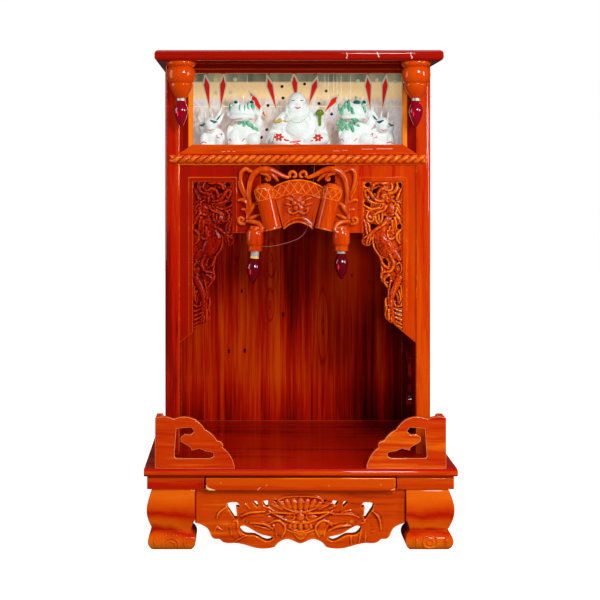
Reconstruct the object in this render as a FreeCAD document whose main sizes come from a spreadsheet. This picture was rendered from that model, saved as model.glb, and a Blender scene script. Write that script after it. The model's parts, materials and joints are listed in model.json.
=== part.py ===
import FreeCAD, Part
import math
import os
import re

# Household altar cabinet, millimetres.
# +X is the viewer's right, -Y the front, +Z up; the origin is on the floor under the middle of the deck.

SIZES = [
    # deck, the board that everything stands on
    ("deck_width", "480"), ("deck_depth", "440"), ("deck_thickness", "12"),
    # base under the deck
    ("leg_height", "93"), ("leg_width", "65"), ("leg_depth", "60"), ("leg_inset", "13"),
    ("leg_setback", "14"), ("leg_bulge", "9"), ("leg_front_bulge", "6"),
    ("foot_height", "28"), ("foot_flare", "7"), ("ankle_inset", "6"),
    ("rail_height", "20.7"), ("rail_width", "20"), ("rail_inset", "4.5"), ("rail_setback", "10"),
    ("rail_chamfer", "4"),
    ("apron_thickness", "18"), ("apron_setback", "15.5"), ("apron_relief", "4"),
    # pull-out tray in the front of the base
    ("tray_front_width", "290"), ("tray_front_height", "19"), ("tray_front_thickness", "12"),
    ("tray_front_setback", "3"), ("tray_front_gap", "3"), ("tray_head_gap", "2"),
    ("tray_board_inset", "2"), ("tray_board_thickness", "11"), ("tray_board_drop", "4"),
    ("tray_back_room", "105"), ("chip_width", "8"), ("chip_height", "6"),
    ("runner_gap", "1"), ("runner_seat_gap", "0.3"), ("runner_lip", "10"), ("runner_wall", "8"),
    ("runner_back_gap", "30"),
    # corner fences on the deck
    ("fence_height", "79"), ("fence_length", "122"), ("fence_side_gap", "0.3"),
    ("fence_thickness", "10"), ("fence_inset", "17"), ("fence_setback", "8"),
    # case
    ("body_side_inset", "26"), ("body_setback", "118"), ("body_back_inset", "12"),
    ("stile_width", "23"), ("stile_depth", "18"), ("stile_round", "6"),
    ("side_wall_thickness", "12"), ("back_wall_thickness", "10"),
    ("cloud_width", "75"), ("cloud_height", "43"), ("cloud_bar", "7"), ("cloud_rise", "46"),
    ("cloud_back_margin", "78"),
    ("niche_height", "466"), ("cross_rail_height", "18"),
    ("frame_bottom_height", "14.6"), ("glass_height", "115"), ("frame_top_height", "6"),
    ("frame_side_width", "22"), ("frame_setback", "4"),
    ("top_rail_height", "10"), ("shelf_thickness", "10"),
    ("pane_thickness", "3"), ("pane_overlap", "5"), ("pane_seat_gap", "0.3"),
    ("halo_thickness", "3"), ("halo_distance", "90"), ("halo_gap", "0.5"),
    # top board
    ("top_side_overhang", "14"), ("top_thickness", "17"), ("top_overhang", "50"),
    ("top_back_overhang", "4"), ("top_round", "6"),
    # arch in the front of the niche
    ("arch_setback", "4"), ("arch_thickness", "12"), ("arch_drop", "110"),
    ("arch_tail_drop", "288"), ("arch_tail_slope", "18"),
    ("arch_gap_share", "0.3141"), ("arch_strip_share", "0.1126"),
    ("window_inner_share", "0.5497"), ("window_head", "27"),
    ("bead_width", "6.5"), ("bead_proud", "1.5"),
    ("dragon_thickness", "12"), ("dragon_proud", "2"), ("dragon_relief", "4"),
    # rope moulding
    ("rope_diameter", "15"), ("rope_end_inset", "9"), ("rope_lead", "39"), ("rope_flat", "2"),
    # carved valance in the middle of the arch
    ("valance_width_share", "0.5131"), ("valance_height", "104"), ("valance_drop", "4.5"),
    ("valance_thickness", "9"), ("fan_proud", "2"), ("roll_radius", "15"), ("roll_proud", "1"),
    ("valance_sole", "10.4"), ("cup_pad_height", "6"),
    # turned pendants, lamp cups and lamps
    ("pendant_radius", "23.5"), ("pendant_height", "58"), ("pendant_inset", "27"),
    ("pendant_reach", "25"),
    ("cup_radius", "13.5"), ("cup_height", "40"), ("cup_offset_share", "0.3613"), ("cup_gap", "0.1"),
    ("lamp_radius", "11"), ("lamp_length", "42"), ("cap_radius", "7"), ("cap_height", "4"),
    ("loose_cap_height", "12"),
    ("wire_diameter", "1"), ("wire_end_gap", "0.1"),
    # porcelain set behind the glass
    ("figure_height", "91"), ("figure_width_share", "0.229"), ("figure_depth", "62"),
    ("beast_height", "78"), ("beast_width_share", "0.126"), ("beast_depth", "40"),
    ("figure_distance", "42"), ("beast_offset_share", "0.199"), ("beast_pitch_share", "0.126"),
]

V = FreeCAD.Vector
doc = FreeCAD.newDocument("AltarCabinet")
sheet = doc.addObject("Spreadsheet::Sheet", "Sizes")
for row, (alias, number) in enumerate(SIZES, 1):
    sheet.set("A%d" % row, alias)
    sheet.set("B%d" % row, number)
    sheet.setAlias("B%d" % row, alias)
doc.recompute()

LEFT, RIGHT = -1, 1
SIDES = (("left", LEFT), ("right", RIGHT))

# Levels and planes, as formulas in the names of the sizes.
DECK_UNDER = "(leg_height + rail_height)"
DECK_TOP = "(leg_height + rail_height + deck_thickness)"
ARCH_TOP = f"({DECK_TOP} + niche_height)"
CROSS_TOP = f"({ARCH_TOP} + cross_rail_height)"
GLASS_LOW = f"({CROSS_TOP} + frame_bottom_height)"
GLASS_HIGH = f"({GLASS_LOW} + glass_height)"
FRAME_HIGH = f"({GLASS_HIGH} + frame_top_height)"
CASE_TOP = f"({FRAME_HIGH} + top_rail_height)"
SHELF_TOP = f"({CROSS_TOP} + shelf_thickness)"
DECK_FRONT = "(-deck_depth / 2)"
CASE_FRONT = "(-deck_depth / 2 + body_setback)"
CASE_BACK = "(deck_depth / 2 - body_back_inset)"
FRAME_BACK = f"({CASE_FRONT} + stile_depth)"
CASE_HALF = "(deck_width / 2 - body_side_inset)"
STILE_INNER = "(deck_width / 2 - body_side_inset - stile_width)"
WALL_INNER = "(deck_width / 2 - body_side_inset - side_wall_thickness)"
WINDOW_OUTER = f"({STILE_INNER} * (1 - arch_strip_share))"
WINDOW_INNER = f"({STILE_INNER} * window_inner_share)"
ARCH_GAP = f"({STILE_INNER} * arch_gap_share)"
VALANCE_HALF = f"({STILE_INNER} * valance_width_share)"
CUP_OFFSET = f"({STILE_INNER} * cup_offset_share)"
TOP_HALF = f"({CASE_HALF} + top_side_overhang)"
PENDANT_OFFSET = f"({CASE_HALF} - pendant_inset)"
LEG_INNER = "(deck_width / 2 - leg_inset - leg_width)"
LEG_BACK = "(deck_depth / 2 - leg_setback - leg_depth)"
RAIL_OUTER = "(deck_width / 2 - rail_inset)"
RAIL_FRONT = "(deck_depth / 2 - rail_setback)"
TRAY_SLOT = "(tray_front_width / 2 + tray_front_gap)"
BOARD_HALF = "(tray_front_width / 2 - tray_board_inset)"
BOARD_TOP = f"({DECK_UNDER} - tray_board_drop)"
PANEL_FRONT = f"({CASE_FRONT} + arch_setback)"
VALANCE_SOLE = "(valance_drop + valance_height - valance_sole)"

subparts = []


def named(formula):
    """A formula in size names, as the document writes it."""
    return re.sub(r"[a-z]+_[a-z_]+", lambda name: "Sizes." + name.group(), formula)


def value(formula):
    """What a formula in size names comes to."""
    return float(sheet.evalExpression(named(formula)))


def keep(piece):
    """Lists a finished sub-part, whose label becomes its file's name."""
    subparts.append(piece)
    return piece


def place(piece, x="0", y="0", z="0"):
    """Ties where a piece stands to the sizes."""
    piece.setExpression("Placement.Base.x", named(x))
    piece.setExpression("Placement.Base.y", named(y))
    piece.setExpression("Placement.Base.z", named(z))
    return piece


def across(side, low, high):
    """A span on the right of the middle, or its mirror image on the left."""
    return (low, high) if side == RIGHT else (f"-{high}", f"-{low}")


def board(label, x, y, z):
    """A plain board between two planes each way."""
    box = doc.addObject("Part::Box", label)
    for size, (low, high) in (("Length", x), ("Width", y), ("Height", z)):
        box.setExpression(size, named(f"({high}) - ({low})"))
    return place(box, x[0], y[0], z[0])


def edges(*runs):
    """A closed outline: 2 points make a line, 3 an arc and more a smooth curve."""
    made = []
    for run in runs:
        points = [V(x, y, 0) for x, y in run]
        if len(points) == 2:
            made.append(Part.LineSegment(*points))
        elif len(points) == 3:
            made.append(Part.Arc(*points))
        else:
            curve = Part.BSplineCurve()
            curve.interpolate(points)
            made.append(curve)
    first, last = runs[0][0], runs[-1][-1]
    if math.dist(first, last) > 1e-6:
        made.append(Part.LineSegment(V(*last, 0), V(*first, 0)))
    return made


def polygon(points):
    """Straight edges round a list of points."""
    return edges(*[(a, b) for a, b in zip(points, points[1:])])


def blob(points):
    """One smooth closed curve through a list of points."""
    curve = Part.BSplineCurve()
    curve.interpolate([V(x, y, 0) for x, y in points], PeriodicFlag=True)
    return [curve]


def scaled(points, width, height, side=RIGHT, x=0.0, y=0.0):
    """Points given as shares of a width and a height, set out from one corner."""
    return [(x + side * u * width, y + v * height) for u, v in points]


def pad(label, plane, outlines, depth):
    """A body that is one sketch on an origin plane, padded."""
    body = doc.addObject("PartDesign::Body", label)
    sketch = body.newObject("Sketcher::SketchObject", label + "_outline")
    origin_plane = [f for f in body.Origin.OriginFeatures if f.Role == plane][0]
    sketch.AttachmentSupport = [(origin_plane, "")]
    sketch.MapMode = "FlatFace"
    for outline in outlines:
        sketch.addGeometry(outline, False)
    feature = body.newObject("PartDesign::Pad", label + "_pad")
    feature.Profile = sketch
    feature.setExpression("Length", named(depth))
    body.Tip = feature
    return body


def turned(label, outline):
    """A body turned about the vertical axis from half its section."""
    body = doc.addObject("PartDesign::Body", label)
    sketch = body.newObject("Sketcher::SketchObject", label + "_section")
    front = [f for f in body.Origin.OriginFeatures if f.Role == "XZ_Plane"][0]
    sketch.AttachmentSupport = [(front, "")]
    sketch.MapMode = "FlatFace"
    sketch.addGeometry(outline, False)
    feature = body.newObject("PartDesign::Revolution", label + "_turning")
    feature.Profile = sketch
    feature.ReferenceAxis = (sketch, ["V_Axis"])
    feature.Angle = 360
    body.Tip = feature
    return body


def joined(label, pieces):
    """Several shapes fused into one sub-part."""
    fuse = doc.addObject("Part::MultiFuse", label)
    fuse.Shapes = pieces
    return fuse


def grouped(label, pieces):
    """Like pieces that don't touch, kept in one sub-part."""
    group = doc.addObject("Part::Compound", label)
    group.Links = pieces
    return group


# Deck: its front edge is a full half-round.
def make_deck():
    half, depth = value("deck_thickness / 2"), value("deck_depth")
    section = edges(
        [(half, 0), (depth, 0)],
        [(depth, 0), (depth, 2 * half)],
        [(depth, 2 * half), (half, 2 * half)],
        [(half, 2 * half), (0, half), (half, 0)],
    )
    deck = pad("deck", "YZ_Plane", [section], "deck_width")
    keep(place(deck, "-deck_width / 2", DECK_FRONT, DECK_UNDER))


# Legs: the front outline and the side outline of one bulging leg, each padded, meet in a common.
def leg_outline(width, bulge):
    """From the inner face outwards: ogee body, ankle and a rounded foot pad."""
    top, foot = value("leg_height"), value("foot_height")
    flare, ankle = value("foot_flare"), value("ankle_inset")
    belly, knee = 0.66 * top, 0.49 * top
    return edges(
        [(0, top), (width, top)],
        [(width, top), (width + 0.7 * bulge, 0.5 * (top + belly)), (width + bulge, belly),
         (width + 0.7 * bulge, knee), (width - 0.35 * ankle, foot)],
        [(width - 0.35 * ankle, foot), (width + flare, 0.55 * foot), (width, 0)],
        [(width, 0), (ankle, 0)],
        [(ankle, 0), (-0.2 * ankle, 0.5 * foot), (ankle, foot)],
        [(ankle, foot), (0.7 * ankle, 0.5 * (foot + knee)), (0, knee)],
    )


def make_leg(name, side, end):
    """One leg; side is left or right, end is front (-1) or back (1)."""
    front = pad(name + "_front_view", "XZ_Plane",
                [[g.copy() for g in leg_outline(value("leg_width"), value("leg_bulge"))]],
                "2 * leg_depth")
    flat = pad(name + "_side_view", "YZ_Plane",
               [leg_outline(value("leg_depth"), value("leg_front_bulge"))], "2 * leg_width")
    place(front, "0", "1.5 * leg_depth", "0")
    place(flat, "-0.5 * leg_width", "0", "0")
    common = doc.addObject("Part::Common", name + "_form")
    common.Base, common.Tool = front, flat
    leg = doc.addObject("Part::Feature", name)
    doc.recompute()
    form = common.Shape
    if side == LEFT:
        form = form.mirror(V(0, 0, 0), V(1, 0, 0))
    if end < 0:
        form = form.mirror(V(0, 0, 0), V(0, 1, 0))
    leg.Shape = form
    inner_x, inner_y = ("" if side == RIGHT else "-") + LEG_INNER, ("" if end == 1 else "-") + LEG_BACK
    keep(place(leg, inner_x, inner_y, "0"))


# Aprons: the front one is sawn to a scroll edge and pierced, the side ones have a plain ogee edge.
APRON_EDGE = (
    [(1.0, 0.428), (0.927, 0.388), (0.874, 0.318), (0.841, 0.198), (0.812, 0.163)],
    [(0.812, 0.163), (0.765, 0.163)],
    [(0.765, 0.163), (0.717, 0.101), (0.68, 0.092), (0.63, 0.098)],
    [(0.63, 0.098), (0.5, 0.053), (0.4, 0.008), (0.28, 0.014), (0.24, 0.035)],
    [(0.24, 0.035), (0.18, 0.134), (0.113, 0.159), (0.05, 0.118), (0.0, 0.088)],
)
APRON_HOLES = (
    [(0.698, 0.754), (0.66, 0.768), (0.598, 0.77), (0.57, 0.68), (0.612, 0.696),
     (0.6, 0.508), (0.62, 0.498), (0.688, 0.672)],
    [(0.46, 0.788), (0.412, 0.788), (0.393, 0.663)],
    [(0.365, 0.788), (0.303, 0.804), (0.308, 0.688), (0.327, 0.688)],
    [(0.274, 0.812), (0.217, 0.82), (0.217, 0.763)],
)
APRON_LENS_SHARES = [(0.575, 0.358), (0.546, 0.382), (0.498, 0.358), (0.393, 0.25), (0.298, 0.208),
              (0.26, 0.176), (0.279, 0.143), (0.355, 0.15), (0.441, 0.225), (0.517, 0.233),
              (0.57, 0.308)]

# Raised forms in the middle of the front apron: a fan, two eyes, a mouth and two cheek leaves.
APRON_FAN_SHARES = [(-0.26, 0.943), (0.26, 0.943)], [(0.26, 0.943), (0.0, 0.598), (-0.26, 0.943)]
APRON_RELIEF = (
    [(0.055, 0.538), (0.1, 0.608), (0.17, 0.598), (0.2, 0.528), (0.15, 0.468), (0.08, 0.468)],
    [(0.21, 0.398), (0.26, 0.448), (0.32, 0.428), (0.34, 0.378), (0.27, 0.338)],
)
APRON_MOUTH_SHARES = [(-0.11, 0.398), (0.0, 0.448), (0.11, 0.398), (0.09, 0.298), (0.0, 0.218),
                      (-0.09, 0.298)]


def make_front_apron():
    half, height = value(LEG_INNER), value("leg_height")
    right = [scaled(run, half, height) for run in APRON_EDGE]
    left = [scaled(run, half, height, LEFT)[::-1] for run in reversed(APRON_EDGE)]
    outline = edges([(-half, height), (half, height)], [(half, height), right[0][0]],
                    *right, *left)
    holes = []
    for side in (LEFT, RIGHT):
        holes += [edges(*[(a, b) for a, b in zip(ring, ring[1:])])
                  for ring in (scaled(hole, half, height, side) for hole in APRON_HOLES)]
        holes.append(blob(scaled(APRON_LENS_SHARES, half, height, side)))
    pieces = [pad("apron_board", "XZ_Plane", [outline] + holes, "apron_thickness")]
    raised = [edges(*[scaled(run, half, height) for run in APRON_FAN_SHARES]),
              blob(scaled(APRON_MOUTH_SHARES, half, height))]
    raised += [blob(scaled(form, half, height, side))
               for form in APRON_RELIEF for side in (LEFT, RIGHT)]
    for number, form in enumerate(raised, 1):
        pieces.append(pad(f"apron_form_{number}", "XZ_Plane", [form],
                          "apron_thickness + apron_relief"))
    apron = joined("apron_front", pieces)
    keep(place(apron, "0", f"{DECK_FRONT} + apron_setback + apron_thickness"))


def plain_apron_outline(half):
    height = value("leg_height")
    lobe = [(1.0, 0.45), (0.9, 0.42), (0.82, 0.3), (0.76, 0.24)]
    crest = [(0.76, 0.24), (0.5, 0.3), (0.24, 0.36), (0.0, 0.38)]
    right = [scaled(run, half, height) for run in (lobe, crest)]
    left = [scaled(run, half, height, LEFT)[::-1] for run in (crest, lobe)]
    return edges([(-half, height), (half, height)], [(half, height), right[0][0]], *right, *left)


def make_plain_aprons():
    for name, side in SIDES:
        apron = pad("apron_" + name, "YZ_Plane", [plain_apron_outline(value(LEG_BACK))],
                    "apron_thickness")
        low = across(side, "(deck_width / 2 - apron_setback - apron_thickness)",
                     "(deck_width / 2 - apron_setback)")[0]
        keep(place(apron, low))
    apron = pad("apron_back", "XZ_Plane", [plain_apron_outline(value(LEG_INNER))],
                "apron_thickness")
    keep(place(apron, "0", "deck_depth / 2 - apron_setback"))


# Base rails: a chamfered moulding between the legs and the deck, open in front for the tray.
def rail_section(outwards):
    """The rail's section; outwards is the sign of its outer face."""
    width, height, cut = value("rail_width"), value("rail_height"), value("rail_chamfer")
    points = [(0, 0), (width, 0), (width, height - cut), (width - cut, height), (0, height), (0, 0)]
    return polygon([(outwards * (x - width), z) for x, z in points])


def make_base_rails():
    low_front = f"(-{RAIL_FRONT})"
    for name, side in SIDES:
        length = f"{RAIL_OUTER} - {TRAY_SLOT}"
        front = pad("base_rail_front_" + name, "YZ_Plane", [rail_section(-1)], length)
        keep(place(front, across(side, TRAY_SLOT, RAIL_OUTER)[0], low_front, "leg_height"))
        flank = pad("base_rail_" + name, "XZ_Plane", [rail_section(side)],
                    f"2 * ({RAIL_FRONT} - rail_width)")
        outer = RAIL_OUTER if side == RIGHT else "-" + RAIL_OUTER
        keep(place(flank, outer, f"{RAIL_FRONT} - rail_width", "leg_height"))
    back = pad("base_rail_back", "YZ_Plane", [rail_section(1)], f"2 * {RAIL_OUTER}")
    keep(place(back, "-" + RAIL_OUTER, RAIL_FRONT, "leg_height"))


# Tray: a front strip with one broken corner, on a board that slides out on two runners.
def make_tray():
    front_plane = f"({DECK_FRONT} + tray_front_setback)"
    high = f"({DECK_UNDER} - tray_head_gap)"
    board_front = f"({front_plane} + tray_front_thickness)"
    half, height = value("tray_front_width / 2"), value("tray_front_height")
    chip_x, chip_z = value("chip_width"), value("chip_height")
    broken = polygon([(half, 0), (half, height), (-half, height), (-half, chip_z),
                      (0.7 * chip_x - half, 0.6 * chip_z), (chip_x - half, 0), (half, 0)])
    front = pad("tray_front", "XZ_Plane", [broken], "tray_front_thickness")
    keep(place(front, "0", board_front, f"{high} - tray_front_height"))
    keep(board("tray_board", (f"-{BOARD_HALF}", BOARD_HALF),
               (board_front, "deck_depth / 2 - tray_back_room"),
               (f"{BOARD_TOP} - tray_board_thickness", BOARD_TOP)))


def make_runners():
    seat = value(f"{DECK_UNDER} - {BOARD_TOP} + tray_board_thickness + runner_seat_gap")
    drop, gap = value("rail_height"), value("runner_gap")
    lip, wall = value("runner_lip"), value("runner_wall")
    length = "(deck_depth - 2 * rail_setback - 2 * rail_width - runner_back_gap)"
    pair = []
    for name, side in SIDES:
        section = polygon([(side * x, z) for x, z in (
            (gap, 0), (gap + wall, 0), (gap + wall, -drop), (gap - lip, -drop),
            (gap - lip, -seat), (gap, -seat), (gap, 0))])
        runner = pad("runner_" + name, "XZ_Plane", [section], length)
        edge = BOARD_HALF if side == RIGHT else "-" + BOARD_HALF
        place(runner, edge, f"{DECK_FRONT} + rail_setback + rail_width + {length}", DECK_UNDER)
        pair.append(runner)
    keep(grouped("tray_runners", pair))


# Corner fences: low boards with a stepped cloud top and a cloud cut-out.
FENCE_TOP = (
    [(0.0, 0.975), (0.123, 1.0), (0.234, 0.949)],
    [(0.234, 0.949), (0.385, 0.994), (0.5, 0.943), (0.569, 0.861), (0.625, 0.747)],
    [(0.625, 0.747), (0.713, 0.658), (0.776, 0.532)],
    [(0.776, 0.532), (0.82, 0.515), (0.846, 0.482), (0.844, 0.405)],
    [(0.844, 0.405), (0.94, 0.25), (1.0, 0.0)],
)
FENCE_CLOUD = [(0.266, 0.775), (0.461, 0.795), (0.493, 0.716), (0.449, 0.648), (0.373, 0.658),
               (0.323, 0.6), (0.323, 0.522), (0.449, 0.405), (0.461, 0.347), (0.556, 0.386),
               (0.631, 0.337), (0.733, 0.308), (0.739, 0.229), (0.689, 0.19), (0.26, 0.19),
               (0.241, 0.228), (0.266, 0.775)]
FLANK_TOP = (
    [(0.0, 0.975), (0.32, 0.975)],
    [(0.32, 0.975), (0.45, 0.92), (0.53, 0.8)],
    [(0.53, 0.8), (0.64, 0.72), (0.7, 0.56)],
    [(0.7, 0.56), (0.84, 0.45), (0.88, 0.27)],
    [(0.88, 0.27), (0.97, 0.18), (1.0, 0.0)],
)


def make_fences():
    height = value("fence_height")
    long = value("fence_length")
    flank = value("body_setback - fence_setback - fence_thickness - fence_side_gap")
    for name, side in SIDES:
        inwards = -side
        top = [scaled(run, long, height, inwards) for run in FENCE_TOP]
        cloud = polygon(scaled(FENCE_CLOUD, long, height, inwards))
        front = pad("fence_front_" + name, "XZ_Plane", [edges([(0, 0), top[0][0]], *top), cloud],
                    "fence_thickness")
        corner = "(deck_width / 2 - fence_inset)"
        corner = corner if side == RIGHT else "-" + corner
        back = f"({DECK_FRONT} + fence_setback + fence_thickness)"
        keep(place(front, corner, back, DECK_TOP))
        top = [scaled(run, flank, height) for run in FLANK_TOP]
        cloud = polygon(scaled(FENCE_CLOUD, flank, height))
        beside = pad("fence_side_" + name, "YZ_Plane", [edges([(0, 0), top[0][0]], *top), cloud],
                     "fence_thickness")
        low = across(side, "(deck_width / 2 - fence_inset - fence_thickness)",
                     "(deck_width / 2 - fence_inset)")[0]
        keep(place(beside, low, back, DECK_TOP))


# Case: front stiles, side walls with two cloud cut-outs one above the other, and the back wall.
WALL_CLOUD = [(0.02, 0.06), (0.5, 0.0), (0.98, 0.06), (1.0, 0.3), (0.8, 0.46), (0.62, 0.56),
              (0.6, 0.86), (0.34, 1.0), (0.04, 0.9), (0.12, 0.6), (0.0, 0.34)]


def make_stiles():
    width, depth, soft = value("stile_width"), value("stile_depth"), value("stile_round")
    mid = soft * (1 - math.sqrt(0.5))
    for name, side in SIDES:
        plan = edges(*[[(side * x, y) for x, y in run] for run in (
            [(width - soft, 0), (width - mid, mid), (width, soft)],
            [(width, soft), (width, depth)], [(width, depth), (0, depth)],
            [(0, depth), (0, 0)])])
        stile = pad("stile_" + name, "XY_Plane", [plan], f"{CASE_TOP} - {DECK_TOP}")
        inner = STILE_INNER if side == RIGHT else "-" + STILE_INNER
        keep(place(stile, inner, CASE_FRONT, DECK_TOP))


def make_walls():
    depth, height = value(f"{CASE_BACK} - {FRAME_BACK}"), value(f"{CASE_TOP} - {DECK_TOP}")
    frame = polygon([(0, 0), (depth, 0), (depth, height), (0, height), (0, 0)])
    long, tall = value("cloud_width"), value("cloud_height")
    start, rise = depth - value("cloud_back_margin + cloud_width"), value("cloud_rise")
    over = rise + 2 * tall + value("cloud_bar")
    clouds = [blob(scaled(WALL_CLOUD, long, tall, x=start, y=rise)),
              blob(scaled(WALL_CLOUD, long, -tall, x=start, y=over))]
    for name, side in SIDES:
        wall = pad("side_wall_" + name, "YZ_Plane", [frame] + clouds, "side_wall_thickness")
        keep(place(wall, across(side, WALL_INNER, CASE_HALF)[0], FRAME_BACK, DECK_TOP))
    keep(board("back_wall", (f"-{WALL_INNER}", WALL_INNER),
               (f"({CASE_BACK} - back_wall_thickness)", CASE_BACK), (DECK_TOP, CASE_TOP)))


def make_front_rails():
    span = (f"-{STILE_INNER}", STILE_INNER)
    keep(board("cross_rail", span, (CASE_FRONT, FRAME_BACK), (ARCH_TOP, CROSS_TOP)))
    keep(board("top_rail", span, (CASE_FRONT, FRAME_BACK), (FRAME_HIGH, CASE_TOP)))
    keep(board("shelf", (f"-{WALL_INNER}", WALL_INNER),
               (FRAME_BACK, f"({CASE_BACK} - back_wall_thickness)"), (CROSS_TOP, SHELF_TOP)))


# Glass frame: four mitred strips with a bevel towards the pane.
def make_glass_frame():
    outer, side_width = value(STILE_INNER), value("frame_side_width")
    low, high = value("frame_bottom_height"), value("frame_top_height")
    tall = value(f"{FRAME_HIGH} - {CROSS_TOP}")
    inner = outer - side_width
    corners = {"frame_bottom": [(-outer, 0), (outer, 0), (inner, low), (-inner, low)],
               "frame_top": [(-outer, tall), (outer, tall), (inner, tall - high),
                             (-inner, tall - high)],
               "frame_left": [(-outer, 0), (-inner, low), (-inner, tall - high), (-outer, tall)],
               "frame_right": [(outer, 0), (inner, low), (inner, tall - high), (outer, tall)]}
    for name, ring in corners.items():
        strip = pad(name, "XZ_Plane", [polygon(ring + ring[:1])], "stile_depth - frame_setback")
        keep(place(strip, "0", FRAME_BACK, CROSS_TOP))


def make_display():
    half = f"({STILE_INNER} - frame_side_width + pane_overlap)"
    keep(board("glass_pane", (f"-{half}", half), (FRAME_BACK, f"({FRAME_BACK} + pane_thickness)"),
               (f"({SHELF_TOP} + pane_seat_gap)", f"({GLASS_HIGH} + pane_overlap)")))
    halo = f"({WALL_INNER} - halo_gap)"
    front = f"({FRAME_BACK} + halo_distance)"
    keep(board("halo_panel", (f"-{halo}", halo), (front, f"{front} + halo_thickness"),
               (SHELF_TOP, CASE_TOP)))


# Top board: a section with a soft front edge and a section with soft ends meet in a common.
def soft_section(length, ends):
    """A board's section from 0 to its length, with a soft edge at the ends that are asked for."""
    high, soft = value("top_thickness"), value("top_round")
    mid = soft * (1 - math.sqrt(0.5))
    start = [[(0, high), (0, 0)]]
    if "low" in ends:
        start = [[(soft, high), (mid, high - mid), (0, high - soft)], [(0, high - soft), (0, soft)],
                 [(0, soft), (mid, mid), (soft, 0)]]
    finish = [[(length, 0), (length, high)]]
    if "high" in ends:
        finish = [[(length - soft, 0), (length - mid, mid), (length, soft)],
                  [(length, soft), (length, high - soft)],
                  [(length, high - soft), (length - mid, high - mid), (length - soft, high)]]
    return edges(*start, [start[-1][-1], finish[0][0]], *finish)


def make_top_board():
    depth = f"({CASE_BACK} + top_back_overhang - {CASE_FRONT} + top_overhang)"
    width = f"(2 * {TOP_HALF})"
    front_view = pad("top_front_view", "XZ_Plane",
                     [soft_section(value(width), ("low", "high"))], depth)
    side_view = pad("top_side_view", "YZ_Plane", [soft_section(value(depth), ("low",))], width)
    place(front_view, "0", depth)
    top = doc.addObject("Part::Common", "top_board")
    top.Base, top.Tool = front_view, side_view
    keep(place(top, "-" + TOP_HALF, f"{CASE_FRONT} - top_overhang", CASE_TOP))


# Arch panels: an outer strip, a head and an inner strip with a raised bead round the window.
def make_arch_panels():
    outer = value(STILE_INNER)
    tail, slope = -value("arch_tail_drop"), value("arch_tail_slope")
    window, inner, gap = value(WINDOW_OUTER), value(WINDOW_INNER), value(ARCH_GAP)
    head, drop, bead = -value("window_head"), -value("arch_drop"), value("bead_width")
    bead_foot = tail + slope * (outer - window - bead) / (outer - window)
    sides = [(window, tail + slope), (window, head), (inner, head), (inner, drop)]
    ring = [(gap, 0), (outer, 0), (outer, tail), *sides, (gap, drop), (gap, 0)]
    beading = [*sides, (inner - bead, drop), (inner - bead, head + bead),
               (window + bead, head + bead), (window + bead, bead_foot), sides[0]]
    for name, side in SIDES:
        flat = pad("arch_board_" + name, "XZ_Plane", [polygon([(side * x, z) for x, z in ring])],
                   "arch_thickness")
        raised = pad("arch_bead_" + name, "XZ_Plane",
                     [polygon([(side * x, z) for x, z in beading])], "arch_thickness + bead_proud")
        panel = joined("arch_panel_" + name, [flat, raised])
        keep(place(panel, "0", f"{PANEL_FRONT} + arch_thickness", ARCH_TOP))


# Dragons: pierced boards that follow the creature's claws, belly and tail, with its head, body and
# tail standing out. Shares of the window's width, out from its inner edge, and of its height, down.
DRAGON_EDGE = (
    [(0.0, 0.0), (0.0, -0.375)],
    [(0.0, -0.375), (0.087, -0.43), (0.223, -0.41)],
    [(0.223, -0.41), (0.27, -0.445), (0.34, -0.47), (0.42, -0.507), (0.45, -0.55),
     (0.46, -0.62), (0.5, -0.67), (0.605, -0.71), (0.62, -0.76)],
    [(0.62, -0.76), (0.56, -0.8), (0.55, -0.87)],
    [(0.55, -0.87), (0.64, -0.93), (0.75, -0.945)],
    [(0.75, -0.945), (1.0, -1.0)],
    [(1.0, -1.0), (1.0, 0.0)],
)
DRAGON_HOLES = (
    [(0.07, -0.014), (0.18, -0.014), (0.19, -0.026), (0.12, -0.038), (0.06, -0.03)],
    [(0.248, -0.077), (0.335, -0.044), (0.455, -0.038), (0.4, -0.06), (0.35, -0.094),
     (0.29, -0.088)],
    [(0.04, -0.135), (0.1, -0.137), (0.2, -0.16), (0.17, -0.175), (0.08, -0.165)],
    [(0.484, -0.23), (0.583, -0.233), (0.533, -0.269), (0.475, -0.28)],
    [(0.211, -0.282), (0.31, -0.282), (0.4, -0.3), (0.3, -0.321), (0.211, -0.318)],
    [(0.88, -0.288), (0.95, -0.285), (0.95, -0.318), (0.9, -0.318)],
    [(0.515, -0.511), (0.625, -0.53), (0.625, -0.563), (0.54, -0.546)],
    [(0.72, -0.503), (0.83, -0.525), (0.79, -0.539), (0.735, -0.52)],
    [(0.58, -0.643), (0.68, -0.635), (0.65, -0.668), (0.6, -0.665)],
    [(0.9, -0.01), (0.96, -0.01), (0.955, -0.045), (0.93, -0.04)],
)
DRAGON_FORMS = (
    [(0.31, -0.338), (0.25, -0.37), (0.25, -0.41), (0.3, -0.455), (0.45, -0.474),
     (0.64, -0.482), (0.81, -0.472), (0.845, -0.4), (0.68, -0.392), (0.58, -0.364),
     (0.55, -0.325), (0.6, -0.3), (0.54, -0.298), (0.44, -0.317)],
    [(0.735, -0.657), (0.67, -0.705), (0.65, -0.768), (0.676, -0.837), (0.735, -0.91),
     (0.772, -0.91), (0.761, -0.83), (0.781, -0.768), (0.847, -0.712), (0.93, -0.66),
     (0.918, -0.64), (0.826, -0.636)],
    [(0.62, -0.156), (0.72, -0.143), (0.82, -0.156), (0.839, -0.19), (0.783, -0.213),
     (0.671, -0.22), (0.608, -0.2)],
    [(0.062, -0.067), (0.149, -0.051), (0.248, -0.1), (0.335, -0.117), (0.49, -0.13),
     (0.484, -0.15), (0.347, -0.15), (0.198, -0.13), (0.087, -0.11)],
    [(0.425, -0.102), (0.475, -0.063), (0.558, -0.049), (0.696, -0.071), (0.783, -0.087),
     (0.696, -0.113), (0.546, -0.12)],
)


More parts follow.
